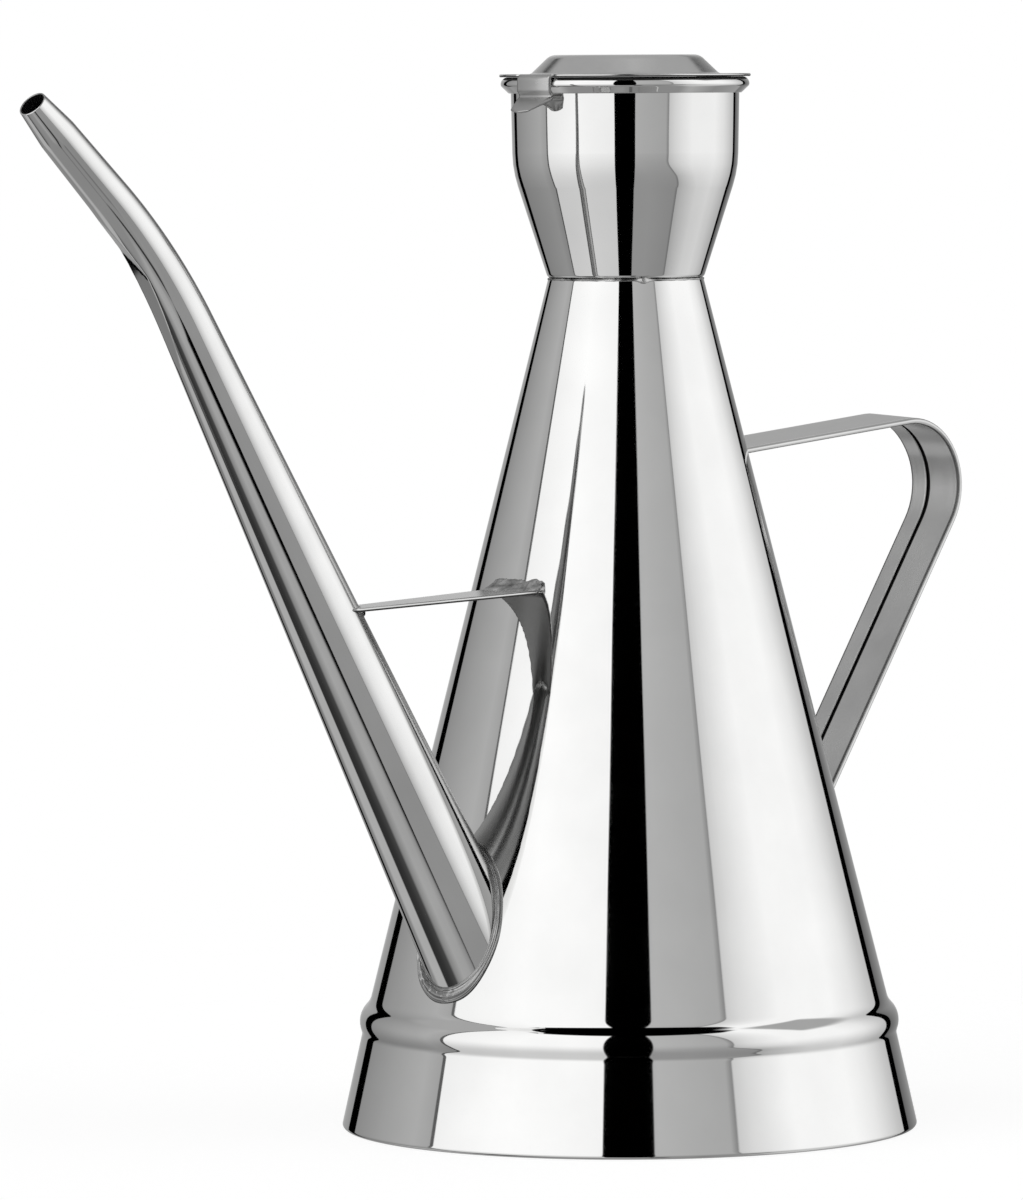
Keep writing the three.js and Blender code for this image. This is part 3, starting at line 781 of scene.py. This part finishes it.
def spout_solder():
    """Hollow fillet of solder from the spout to the cone, lipped at its outer edge and crusted below."""

    def place(turn, round_section):
        turn = round(turn, TURN_DIGITS)
        distance = where_spout_meets_cone(turn)
        here = on_spout_skin(distance, turn)
        ahead = round(turn + COLLAR_SMALL_TURN, TURN_DIGITS)
        along = (on_spout_skin(where_spout_meets_cone(ahead), ahead) - here).normalized()
        up_spout = (on_spout_skin(distance + MM, turn) - here).normalized()
        cone_out = Vector((here.x, here.y, cone_slope * math.hypot(here.x, here.y))).normalized()
        over_cone = cone_out.cross(along)
        spout_out = up_spout.cross(along).normalized()
        below = max(-math.cos(turn), 0.0) ** 2
        wander = noise.noise(here / COLLAR_WANDER)
        crusted = max(math.cos(turn - COLLAR_CRUST_TURN), 0.0) ** 2
        top = here + up_spout * COLLAR_ON_SPOUT * (1 + COLLAR_TOP_UNEVEN * wander)
        top += spout_out * COLLAR_EDGE
        foot_reach = (COLLAR_ON_CONE + COLLAR_FOOT_EXTRA * below) * (1 + COLLAR_FOOT_UNEVEN * wander)
        foot = here + over_cone * foot_reach + cone_out * COLLAR_EDGE
        share = (round_section + math.pi) / FULL_TURN
        if share < COLLAR_SEEN:
            share /= COLLAR_SEEN
            point = curve_through(top, here + (up_spout + over_cone) * COLLAR_FILL, foot, share)
            lip = math.exp(-(((share - COLLAR_LIP_AT) / COLLAR_LIP_WIDTH) ** 2)) * COLLAR_LIP
            crust = roughness(point / COLLAR_CRUST, ROUGH_DETAIL) * COLLAR_ROUGHNESS * crusted
            round_spout = (math.cos(turn) * COLLAR_STREAK_TURN, math.sin(turn))
            streak = noise.noise(Vector((share * COLLAR_STREAKS, *round_spout))) * COLLAR_STREAK_DEPTH
            swell = lip + (crust + streak) * math.sin(math.pi * share)
            return point + (cone_out + spout_out).normalized() * swell
        sunk = here - (cone_out + spout_out) * COLLAR_SUNK
        return curve_through(foot, sunk, top, (share - COLLAR_SEEN) / (1 - COLLAR_SEEN))

    return on_spout_side(solder_ring(place))


def curve_through(first, pull, last, share):
    """A bent line from first to last, drawn towards pull."""
    return first * (1 - share) ** 2 + pull * 2 * share * (1 - share) + last * share * share


# Brace and its solder

brace_foot = cone_radius(BRACE_HEIGHT)


def spout_axis_at(height):
    return spout_root.x + (height - SPOUT_ROOT_HEIGHT) / math.tan(SPOUT_RISE)


def brace_height_at(across, y):
    """Height of the brace, which falls towards the spout and twists up a little on its near side."""
    share = (across - brace_foot) / (spout_axis_at(BRACE_HEIGHT) - brace_foot)
    lift = math.tan(BRACE_ROLL + BRACE_TWIST * share) * y
    return BRACE_HEIGHT + lift - math.tan(BRACE_FALL) * (across - brace_foot)


def cone_face(y, height):
    """How far out the cone's skin is at a height and a distance sideways."""
    return math.sqrt(cone_radius(height) ** 2 - y * y)


def spout_face(y, height):
    """How far out the spout's skin is, on the side towards the cone."""
    radius = spout_radius((height - SPOUT_ROOT_HEIGHT) / math.sin(SPOUT_RISE))
    inset = math.sqrt(max(radius * radius - y * y, 0.0)) / math.sin(SPOUT_RISE)
    return spout_axis_at(height) - inset


def strip_along(outline, marks):
    """A closed outline (sideways, thickness) drawn out along X through the marks, with filled ends."""
    bm = wire(outline)
    bmesh.ops.rotate(bm, matrix=Matrix.Rotation(math.pi / 2, 3, "Z"), verts=bm.verts)
    first = bm.edges[:]
    edges = first
    for before, after in zip(marks, marks[1:]):
        drawn = bmesh.ops.extrude_edge_only(bm, edges=edges)["geom"]
        verts = [v for v in drawn if isinstance(v, bmesh.types.BMVert)]
        bmesh.ops.translate(bm, vec=(after - before, 0, 0), verts=verts)
        edges = [edge for edge in edges_of(drawn) if set(verts).issuperset(edge.verts)]
    bmesh.ops.edgeloop_fill(bm, edges=first)
    bmesh.ops.edgeloop_fill(bm, edges=edges)
    bmesh.ops.translate(bm, vec=(marks[0], 0, 0), verts=bm.verts)
    return bm


def brace_strip():
    """Flat strip from the cone to the back of the spout, its ends fitted to both."""
    half = BRACE_WIDTH / 2 - BRACE_SHEET / 2
    section = BentLine((-half, 0), (half, 0)).sheet(BRACE_SHEET / 2, BRACE_SHEET / 2)
    strip = strip_along(section, [k / BRACE_STEPS for k in range(BRACE_STEPS + 1)])

    def finish(co):
        """Edges bright above with painted shade below them, the underside partly painted with shade."""
        if abs(co.y) > half:
            return BRIGHT_EDGE if co.z > -BRACE_EDGE_LINE else 1.0
        return BRACE_UNDERSIDE_SHADE if co.z < 0 else 0.0

    painted_shade_and_dull(strip, finish)

    def fitted(co):
        near = cone_face(co.y, brace_height_at(brace_foot, co.y) + co.z)
        far = spout_face(co.y, brace_height_at(spout_axis_at(BRACE_HEIGHT), co.y) + co.z)
        across = blend(near, far, co.x)
        return Vector((across, co.y, brace_height_at(across, co.y) + co.z))

    return on_spout_side(shaped(strip, fitted))


def brace_body_solder():
    """A ragged fillet along the top of the brace, against the cone, thicker to its far side."""
    arc = [math.pi / 2 * k / EDGE_STEPS for k in range(EDGE_STEPS + 1)]
    hollow = [Vector((1 - math.sin(turn), 1 - math.cos(turn))) for turn in arc]
    chord = [Vector((1 - k / EDGE_STEPS, k / EDGE_STEPS)) for k in range(EDGE_STEPS + 1)]
    face = [blend(a, b, BODY_SOLDER_HOLLOW) for a, b in zip(chord, hollow)]
    sink = BODY_SOLDER_SINK
    section = [Vector((-sink, -sink)), Vector((1, -sink)), *face, Vector((-sink, 1))]
    marks = [2 * k / SOLDER_MARKS - 1 for k in range(SOLDER_MARKS + 1)]

    def seated(co):
        y = co.x * BODY_SOLDER_LENGTH / 2
        flow_at = Vector((y / BODY_SOLDER_RAGGED, BODY_SOLDER_FLOW * co.y, BODY_SOLDER_FLOW * co.z))
        ragged = BODY_SOLDER_UNEVEN * roughness(flow_at, LUMP_DETAIL, BODY_SOLDER_GRAIN)
        taper = blend(BODY_SOLDER_THIN, 1, math.sqrt(1 - abs(co.x) ** BODY_SOLDER_SQUARE))
        far = BODY_SOLDER_FAR_EXTRA * smooth_share(-co.x, BODY_SOLDER_FAR_FROM, BODY_SOLDER_FAR_FULL)
        up = co.z * BODY_SOLDER_HEIGHT * taper * (BODY_SOLDER_RISE + ragged) + BRACE_SHEET / 2
        out = co.y * BODY_SOLDER_REACH * taper * (1 + far + ragged)
        across = cone_face(y, brace_height_at(brace_foot, y) + up) + out
        return Vector((across, y, brace_height_at(across, y) + up))

    return on_spout_side(shaped(strip_along(section, marks), seated))


def brace_spout_solder():
    """A rough lump under the brace, drawn out sideways where it meets the spout."""
    lump = bmesh.new()
    bmesh.ops.create_icosphere(lump, subdivisions=SOLDER_ROUNDS, radius=1)

    def seated(co):
        way = co.normalized()
        ripple_at = Vector((way.x, way.y * SPOUT_SOLDER_STRETCH, way.z)) * SPOUT_SOLDER_RIPPLES
        swell = 1 + SPOUT_SOLDER_UNEVEN * roughness(ripple_at + SPOUT_SOLDER_PATTERN, LUMP_DETAIL)
        y = math.copysign(abs(way.y) ** SPOUT_SOLDER_SQUARE, way.y) * swell * SPOUT_SOLDER_LENGTH / 2
        level = brace_height_at(spout_axis_at(BRACE_HEIGHT), y) - BRACE_SHEET / 2
        out = spout_face(y, level) + way.x * swell * SPOUT_SOLDER_REACH
        return Vector((out, y, level + way.z * swell * SPOUT_SOLDER_HEIGHT))

    return on_spout_side(shaped(lump, seated))


# Handle

def handle_line():
    """The strip's outside: tab on the cone, out to the knuckle, down to the cone, second tab."""
    top = Vector((cone_radius(HANDLE_TOP_HEIGHT) + SEAT_GAP, HANDLE_TOP_HEIGHT))
    foot = Vector((cone_radius(HANDLE_FOOT_HEIGHT), HANDLE_FOOT_HEIGHT))
    top_slope, foot_slope = math.tan(HANDLE_TOP_RISE), math.tan(HANDLE_FOOT_LEAN)
    rise = top.y - foot.y - top_slope * top.x
    reach = (foot.x + foot_slope * rise) / (1 - foot_slope * top_slope)
    knuckle = (reach, top.y + top_slope * (reach - top.x))
    tab_end = HANDLE_TOP_HEIGHT - TAB_LENGTH
    tab_out = SEAT_GAP + HANDLE_SHEET * (1 + TAB_PRESS)
    foot_in = HANDLE_FOOT_HEIGHT - tab_out / foot_slope / 2
    foot_end = foot_in - TAB_LENGTH
    return BentLine(
        (cone_radius(tab_end) + SEAT_GAP, tab_end),
        (*top, TAB_BEND),
        (*knuckle, HANDLE_BEND),
        (foot.x - foot_slope * (HANDLE_FOOT_HEIGHT - foot_in), foot_in, TAB_BEND),
        (cone_radius(foot_end) + tab_out, foot_end),
    )


def handle_strip():
    """One strip with both long edges folded over on to its inner face, a slot left between them."""
    line = handle_line()
    half = HANDLE_WIDTH / 2 - HANDLE_SHEET / 2
    fold = (HANDLE_SHEET + HEM_GAP) / 2
    middle = HANDLE_SHEET / 2
    hem = middle + 2 * fold
    slot = (NEAR_HEM - FAR_HEM) / 2
    section = BentLine(
        (NEAR_HEM - half, hem),
        (-half, hem, fold),
        (-half, middle, fold),
        (slot - SLOT_SHADE_WIDTH / 2, middle, 0),
        (slot + SLOT_SHADE_WIDTH / 2, middle, 0),
        (half, middle, fold),
        (half, hem, fold),
        (half - FAR_HEM, hem),
    ).sheet(HANDLE_SHEET / 2, HANDLE_SHEET / 2)
    strip = strip_along(section, line.stations(LONGEST_STEP))

    def finish(co):
        """Folded edges bright with a line of painted shade inside, painted shade in the slot, the outer
        face a little darker and rougher.
        """
        inward = (co.z - middle - fold) / (fold + middle)
        if abs(co.y) > half - fold:
            return HEM_SHADE_LINE if inward > HEM_LINE_FROM else BRIGHT_EDGE
        if middle < co.z < hem and abs(co.y - slot) < SLOT_SHADE_WIDTH:
            return 1.0
        return HANDLE_OUTER_DARKENING if co.z < middle else 0.0

    painted_shade_and_dull(strip, finish)
    # The line's first runs are tab, tab bend, top run and knuckle
    knuckle = line.runs[KNUCKLE_RUN]

    def bent(co):
        """The strip along its line: tabs pressed to the cone, the top run rolled up on its far side."""
        on_tab = 1 - smooth_share(co.x, TAB_LENGTH - TAB_BEND, TAB_LENGTH)
        on_tab += smooth_share(co.x, line.length - TAB_LENGTH, line.length - TAB_LENGTH + TAB_BEND)
        on_top = smooth_share(co.x, TAB_LENGTH, 2 * TAB_LENGTH)
        on_top -= smooth_share(co.x, knuckle.begins, knuckle.begins + knuckle.length / 2)
        roll = (co.y + HANDLE_WIDTH / 2) * math.tan(HANDLE_ROLL) * on_top
        place = line.beside(co.x, roll - co.z * blend(1, TAB_PRESS, on_tab))
        radius = cone_radius(place.y)
        curve = radius - math.sqrt(radius * radius - co.y * co.y)
        return Vector((place.x - curve * on_tab, co.y, place.y))

    return shaped(strip, bent)


# Finishes

class Wire:
    """A socket of a node tree: sums on it add Math nodes, and node() adds any other node."""

    def __init__(self, tree, socket=None):
        self.tree = tree
        self.socket = socket

    def node(self, kind, settings, inputs, output=0):
        made = self.tree.nodes.new(kind)
        for key, value in settings.items():
            setattr(made, key, value)
        for key, value in inputs.items():
            if isinstance(value, Wire):
                self.tree.links.new(value.socket, made.inputs[key])
            else:
                made.inputs[key].default_value = value
        return Wire(self.tree, made.outputs[output] if made.outputs else None)

    def math(self, operation, first, second=0.0):
        return self.node("ShaderNodeMath", {"operation": operation}, {0: first, 1: second})

    def __add__(self, other):
        return self.math("ADD", self, other)

    __radd__ = __add__

    def __sub__(self, other):
        return self.math("SUBTRACT", self, other)

    def __rsub__(self, other):
        return self.math("SUBTRACT", other, self)

    def __mul__(self, other):
        return self.math("MULTIPLY", self, other)

    __rmul__ = __mul__

    def __truediv__(self, other):
        return self.math("DIVIDE", self, other)


def new_material(name):
    material = bpy.data.materials.new(name)
    material.use_nodes = True
    material.node_tree.nodes.clear()
    return material, Wire(material.node_tree)


def finish_material(tree, shader):
    tree.node("ShaderNodeOutputMaterial", {}, {"Surface": shader})


def object_place(tree):
    return tree.node("ShaderNodeTexCoord", {}, {}, "Object")


def vertex_mark(tree, name, output):
    return tree.node("ShaderNodeAttribute", {"attribute_name": name}, {}, output)


def seen_by_camera(tree):
    return tree.node("ShaderNodeLightPath", {}, {}, "Is Camera Ray")


def bumped(tree, height, strength, depth, under=None):
    """The surface raised by a value, over another bump where one is given."""
    inputs = {"Height": height, "Strength": strength, "Distance": depth}
    if under:
        inputs["Normal"] = under
    return tree.node("ShaderNodeBump", {}, inputs)


def metal(tree, colour, rough, bump):
    inputs = {"Base Color": colour, "Metallic": 1.0, "Roughness": rough, "Normal": bump}
    finish_material(tree, tree.node("ShaderNodeBsdfPrincipled", {}, inputs))


def grains(tree, coordinates, stretch, scale, detail):
    """A noise over coordinates stretched by three factors."""
    vector = tree.node("ShaderNodeMapping", {}, {"Vector": coordinates, "Scale": stretch})
    return tree.node("ShaderNodeTexNoise", {}, {"Vector": vector, "Scale": scale, "Detail": detail})


def range_of(tree, value, low, high):
    """A noise's usual range spread from low to high."""
    inputs = {"Value": value, "From Min": NOISE_LOW, "From Max": NOISE_HIGH, "To Min": low, "To Max": high}
    return tree.node("ShaderNodeMapRange", {}, inputs)


def mixed(tree, factor, first, second):
    """Two colours, plain or wired, mixed by a value."""
    inputs = {"Factor": factor, COLOUR_A: first, COLOUR_B: second}
    return tree.node("ShaderNodeMix", {"data_type": "RGBA"}, inputs, COLOUR_RESULT)


def grey(level):
    """A steel's faintly warm grey."""
    return level, level, level * STEEL_WARMTH, 1


def steel(name, light, dark, smooth, dull, brushing, waves, wave_height, follows_piece=False):
    """Bright steel: brushing stretches its fine marks; its sheet has so many waves per metre, so high."""
    material, tree = new_material(name)
    at = object_place(tree)
    marks_at = vertex_mark(tree, "straight", "Vector") if follows_piece else at
    shade_and_dullness = vertex_mark(tree, "painted_shade_and_dull", "Fac")
    marks = grains(tree, marks_at, brushing, 1.0, MARKS_DETAIL)
    haze = grains(tree, at, EVENLY, HAZE_SCALE, HAZE_DETAIL)
    sheet_wave = grains(tree, at, EVENLY, waves, 0.0)
    colour = mixed(tree, range_of(tree, haze, 0.0, 1.0), grey(dark), grey(light))
    # Painted shade: where marked, the colour is mixed towards a near-black grey
    colour = mixed(tree, shade_and_dullness, colour, grey(PAINTED_SHADE_GREY))
    rough = range_of(tree, haze * HAZE_SHARE + marks * (1 - HAZE_SHARE), smooth, dull)
    rough = rough + shade_and_dullness * UNPOLISHED_ROUGHNESS
    bump = bumped(tree, marks, MARKS_STRENGTH, MARKS_DEPTH)
    metal(tree, colour, rough, bumped(tree, sheet_wave, 1.0, wave_height, bump))
    return material


def solder_metal(name, light, dark, smooth, dull, flowed):
    """Solder with darker flux in its hollows: flowed has streaks along a ring, otherwise it is crusted."""
    material, tree = new_material(name)
    patches = grains(tree, object_place(tree), PATCH_STRETCH, PATCH_SCALE, PATCH_DETAIL)
    tone = ring_streaks(tree) if flowed else patches
    colour = mixed(tree, range_of(tree, tone, 0.0, 1.0), grey(dark), grey(light))
    bump = bumped(tree, tone, SOLDER_STRENGTH, SOLDER_DEPTH)
    metal(tree, colour, range_of(tree, patches, smooth, dull), bump)
    return material


def ring_streaks(tree):
    """Streaks that run round a ring of solder, drawn on its section before it was placed."""
    straight = vertex_mark(tree, "straight", "Vector")
    level = tree.node("ShaderNodeVectorMath", {"operation": "MULTIPLY"}, {0: straight, 1: (1, 1, 0)})
    radius = tree.node("ShaderNodeVectorMath", {"operation": "LENGTH"}, {0: level}, "Value")
    x, y, z = (tree.node("ShaderNodeSeparateXYZ", {}, {0: straight}, axis) for axis in "XYZ")
    turn = tree.math("ARCTAN2", y, x)
    across = tree.node("ShaderNodeCombineXYZ", {}, {"X": radius, "Y": z, "Z": turn})
    return grains(tree, across, STREAK_STRETCH, STREAK_SCALE, STREAK_DETAIL)


# Studio

# What the polish mirrors: (degrees from the eye's side, to its right, brightness)
LIGHT_PLAN = (
    (-180, 0.65), (-172, 0.55), (-166, 0.42), (-154, 0.36), (-153.5, 0.0), (-144, 0.0), (-143.5, 0.31),
    (-97, 0.5), (-88, 0.44), (-87.6, 0.12), (-86.2, 0.12), (-85.8, 1.08), (-50, 1.2), (-11.2, 1.12),
    (-10.8, 0.0), (9.8, 0.0), (10.2, 0.54), (42, 0.47), (44.8, 0.28), (45.6, 0.72), (52, 0.85),
    (60, 0.97), (72, 1.12), (104, 1.14), (120, 0.98), (136, 0.7), (142.5, 0.62), (143, 0.0),
    (149.5, 0.0), (150, 0.16), (168, 0.34), (180, 0.65),
)
# The table, mirrored by what leans forward most
TABLE_PLAN = (
    (-180, 0.45), (-150, 0.3), (-135, 0.28), (-126, 0.5), (-101, 0.5), (-97, 0.03), (-80, 0.04),
    (-62, 0.07), (-54, 0.28), (-30, 0.45), (-8, 0.43), (3, 0.34), (10, 0.32), (11, 0.04), (19, 0.04),
    (20, 0.3), (34, 0.3), (37.5, 0.2), (41, 0.2), (44, 0.28), (60, 0.3), (75, 0.6), (110, 0.7),
    (140, 0.3), (180, 0.45),
)
# Heights at which each zone begins and is full, as sines of the angle above the horizon
TABLE_FROM = math.sin(math.radians(-41.5))
TABLE_FULL = math.sin(math.radians(-44))
TABLE_BEHIND = 0.38
DOWN_FROM = math.sin(math.radians(-56))
DOWN_FULL = math.sin(math.radians(-64))
DOWN_LEVEL = 0.3
SHADE_FULL = math.sin(math.radians(-35))
SHADE_FROM = math.sin(math.radians(10))
SHADE_LEVEL = 0.62
LEAN_FROM = math.sin(math.radians(-9))
LEAN_FULL = math.sin(math.radians(-30))
CEILING_LEVEL = 0.45
CEILING_FROM = math.sin(math.radians(30))
CEILING_FULL = math.sin(math.radians(38))
GAP_FROM = math.sin(math.radians(56))
GAP_FULL = math.sin(math.radians(60))
# Lean of the low panels to the right: its size and start as shares of a turn, its reach behind
LEAN = 18 / 360
LEAN_KNEE = 0.5 + 11 / 360
LEAN_BEHIND = -0.45
# Edges of the ceiling and its dark gap, ahead and to the sides
CEILING_SIDE = 0.05
GAP_HALF_WIDTH = 0.45
GAP_SIDE = 0.04
GAP_AHEAD_FROM = 0.04
GAP_AHEAD_FULL = 0.12
# Floor
FLOOR_RADIUS = 0.5
FLOOR_FADE_FROM = 0.12
FLOOR_FADE_TO = 0.42
FLOOR_WHITE = 0.8
FLOOR_ALBEDO = 0.36
FLOOR_DROP = 0.05 * MM


def eased(tree, value, start, end):
    """A value eased from 0 at start to 1 at end."""
    inputs = {"Value": value, "From Min": start, "From Max": end}
    return tree.node("ShaderNodeMapRange", {"interpolation_type": "SMOOTHSTEP"}, inputs)


def share_of_turn(degrees):
    """Degrees from the eye's side as a share of a turn, with a half at the eye."""
    return degrees / 360 + 0.5


def panels(tree, plan, turn):
    """Upright panels and flags round the object, as a plan lists them, in straight steps."""
    level = plan[0][1]
    for (start, low), (end, high) in zip(plan, plan[1:]):
        span = {"From Min": share_of_turn(start), "From Max": share_of_turn(end)}
        step = {"Value": turn, **span, "To Max": high - low}
        level = level + tree.node("ShaderNodeMapRange", {}, step)
    return level


def studio_world():
    """White to the eye; the polish mirrors upright panels, a grey ceiling, a dark gap and a table."""
    world = bpy.data.worlds.new("studio")
    world.use_nodes = True
    world.node_tree.nodes.clear()
    tree = Wire(world.node_tree)
    way = tree.node("ShaderNodeTexCoord", {}, {}, "Generated")
    dot = {"operation": "DOT_PRODUCT"}
    axes = (TOWARDS_EYE, EYE_RIGHT, (0, 0, 1))
    ahead, aside, height = (tree.node("ShaderNodeVectorMath", dot, {0: way, 1: a}, "Value") for a in axes)
    shaded = eased(tree, height, SHADE_FROM, SHADE_FULL)
    turn = tree.math("ARCTAN2", aside, ahead) / FULL_TURN + 0.5
    lean = eased(tree, height, LEAN_FROM, LEAN_FULL) * eased(tree, ahead, LEAN_BEHIND, 0.0) * LEAN
    leaned = tree.math("MAXIMUM", turn - lean, tree.math("MINIMUM", turn, LEAN_KNEE))
    upright = panels(tree, LIGHT_PLAN, leaned) * (1 - shaded * (1 - SHADE_LEVEL))
    behind = tree.math("MAXIMUM", ahead * -1.0, 0.0)
    on_table = eased(tree, height - behind * TABLE_BEHIND, TABLE_FROM, TABLE_FULL)
    below = eased(tree, height, DOWN_FROM, DOWN_FULL)
    table = panels(tree, TABLE_PLAN, turn) * (1 - below) + below * DOWN_LEVEL
    around = upright * (1 - on_table) + table * on_table
    aside_width = tree.math("ABSOLUTE", aside)
    gap = eased(tree, height, GAP_FROM, GAP_FULL) * eased(tree, ahead, GAP_AHEAD_FROM, GAP_AHEAD_FULL)
    gap = gap * eased(tree, aside_width, GAP_HALF_WIDTH + GAP_SIDE, GAP_HALF_WIDTH)
    ceiling = eased(tree, height, CEILING_FROM, CEILING_FULL)
    ceiling = ceiling * eased(tree, ahead, CEILING_SIDE, -CEILING_SIDE)
    mirrored = around * (1 - gap) * (1 - ceiling) + ceiling * CEILING_LEVEL
    seen = seen_by_camera(tree)
    level = mirrored * (1 - seen) + seen
    background = tree.node("ShaderNodeBackground", {}, {"Color": (1, 1, 1, 1), "Strength": level})
    tree.node("ShaderNodeOutputWorld", {}, {"Surface": background})
    bpy.context.scene.world = world


def floor():
    """A white disc that fades out, and keeps the soft shadow under the foot."""
    disc = bmesh.new()
    bmesh.ops.create_circle(disc, cap_ends=True, segments=FLOOR_STEPS, radius=FLOOR_RADIUS)
    bmesh.ops.translate(disc, vec=(0, 0, -FLOOR_DROP), verts=disc.verts)
    material, tree = new_material("white floor")
    radius = tree.node("ShaderNodeVectorMath", {"operation": "LENGTH"}, {0: object_place(tree)}, "Value")
    fade = eased(tree, radius, FLOOR_FADE_FROM, FLOOR_FADE_TO)
    albedo = (FLOOR_ALBEDO, FLOOR_ALBEDO, FLOOR_ALBEDO, 1)
    paint = tree.node("ShaderNodeBsdfDiffuse", {}, {"Color": albedo})
    white = {"Color": (1, 1, 1, 1), "Strength": seen_by_camera(tree) * FLOOR_WHITE}
    glow = tree.node("ShaderNodeEmission", {}, white)
    lit = tree.node("ShaderNodeAddShader", {}, {0: paint, 1: glow})
    clear = tree.node("ShaderNodeBsdfTransparent", {}, {})
    finish_material(tree, tree.node("ShaderNodeMixShader", {}, {0: fade, 1: lit, 2: clear}))
    made = placed("floor", disc, material)
    made.visible_glossy = False


def camera():
    """The photograph's viewpoint, with its optical axis through the middle of the frame."""
    focal_pixels = EYE_DISTANCE / PHOTO_PIXEL
    data = bpy.data.cameras.new("camera")
    data.sensor_width = SENSOR
    data.lens = focal_pixels / PHOTO_HEIGHT * SENSOR
    data.clip_start = NEAREST_SEEN
    made = bpy.data.objects.new("camera", data)
    bpy.context.scene.collection.objects.link(made)
    yaw = math.atan((PHOTO_AXIS_X - PHOTO_WIDTH / 2) / focal_pixels)
    pitch = math.atan((PHOTO_HEIGHT / 2 - PHOTO_EYE_Y) / focal_pixels)
    level = Matrix((EYE_RIGHT, (0, 0, 1), TOWARDS_EYE)).transposed().to_4x4()
    aim = Matrix.Rotation(yaw, 4, "Y") @ Matrix.Rotation(-pitch, 4, "X")
    aim = aim @ Matrix.Rotation(-EYE_ROLL, 4, "Z")
    place = Matrix.Translation(TOWARDS_EYE * EYE_DISTANCE + Vector((0, 0, EYE_HEIGHT)))
    made.matrix_world = place @ level @ aim
    bpy.context.scene.camera = made


# Assembly

polished = steel(
    "polished steel", light=0.83, dark=0.79, smooth=0.02, dull=0.05,
    brushing=(60, 60, 2600), waves=26, wave_height=0.08 * MM,
)
spun = steel(
    "spun steel", light=0.83, dark=0.79, smooth=0.02, dull=0.05,
    brushing=(60, 60, 2600), waves=45, wave_height=0.2 * MM,
)
drawn = steel(
    "drawn bright steel", light=0.82, dark=0.76, smooth=0.03, dull=0.07,
    brushing=(1500, 1500, 30), waves=26, wave_height=0.03 * MM, follows_piece=True,
)
satin = steel(
    "satin strip steel", light=0.7, dark=0.6, smooth=0.19, dull=0.3,
    brushing=(30, 2200, 2200), waves=26, wave_height=0.02 * MM, follows_piece=True,
)
pressed = steel(
    "pressed lid steel", light=0.8, dark=0.7, smooth=0.12, dull=0.24,
    brushing=(90, 90, 1500), waves=26, wave_height=0.03 * MM,
)
flowed_solder = solder_metal("flowed solder", light=0.66, dark=0.06, smooth=0.08, dull=0.24, flowed=True)
crusted_solder = solder_metal("crusted solder", light=0.78, dark=0.1, smooth=0.14, dull=0.4, flowed=False)

piece("cone", cone_shell(), polished, "polished_steel", "cruet", "body_cone")
piece("pan", bottom_pan(), pressed, "polished_steel", "cruet", "bottom_pan")
piece("funnel", neck_funnel(), spun, "polished_steel", "cruet", "neck_funnel")
piece("neck_solder_line", neck_solder(), crusted_solder, "solder", "cruet")
piece("pouring_spout", spout_tube(), drawn, "bright_steel", "cruet", "spout")
piece("spout_root_solder", spout_solder(), flowed_solder, "solder", "cruet", "spout_solder")
piece("brace_strip", brace_strip(), satin, "bright_steel", "cruet", "brace")
piece(
    "brace_solder_on_cone", brace_body_solder(), crusted_solder, "solder", "cruet", "brace_body_solder",
)
piece(
    "brace_solder_on_spout", brace_spout_solder(), crusted_solder, "solder", "cruet", "brace_spout_solder",
)
piece("strip_handle", handle_strip(), satin, "bright_steel", "cruet", "handle")
piece(
    "sprung_lid", lid_with_tongues(), pressed, "lid_steel", "lid",
    "lid", "lid_tongue_spout_side", "lid_tongue_handle_side",
)

studio_world()
floor()
camera()
bpy.context.scene.view_settings.view_transform = "Standard"
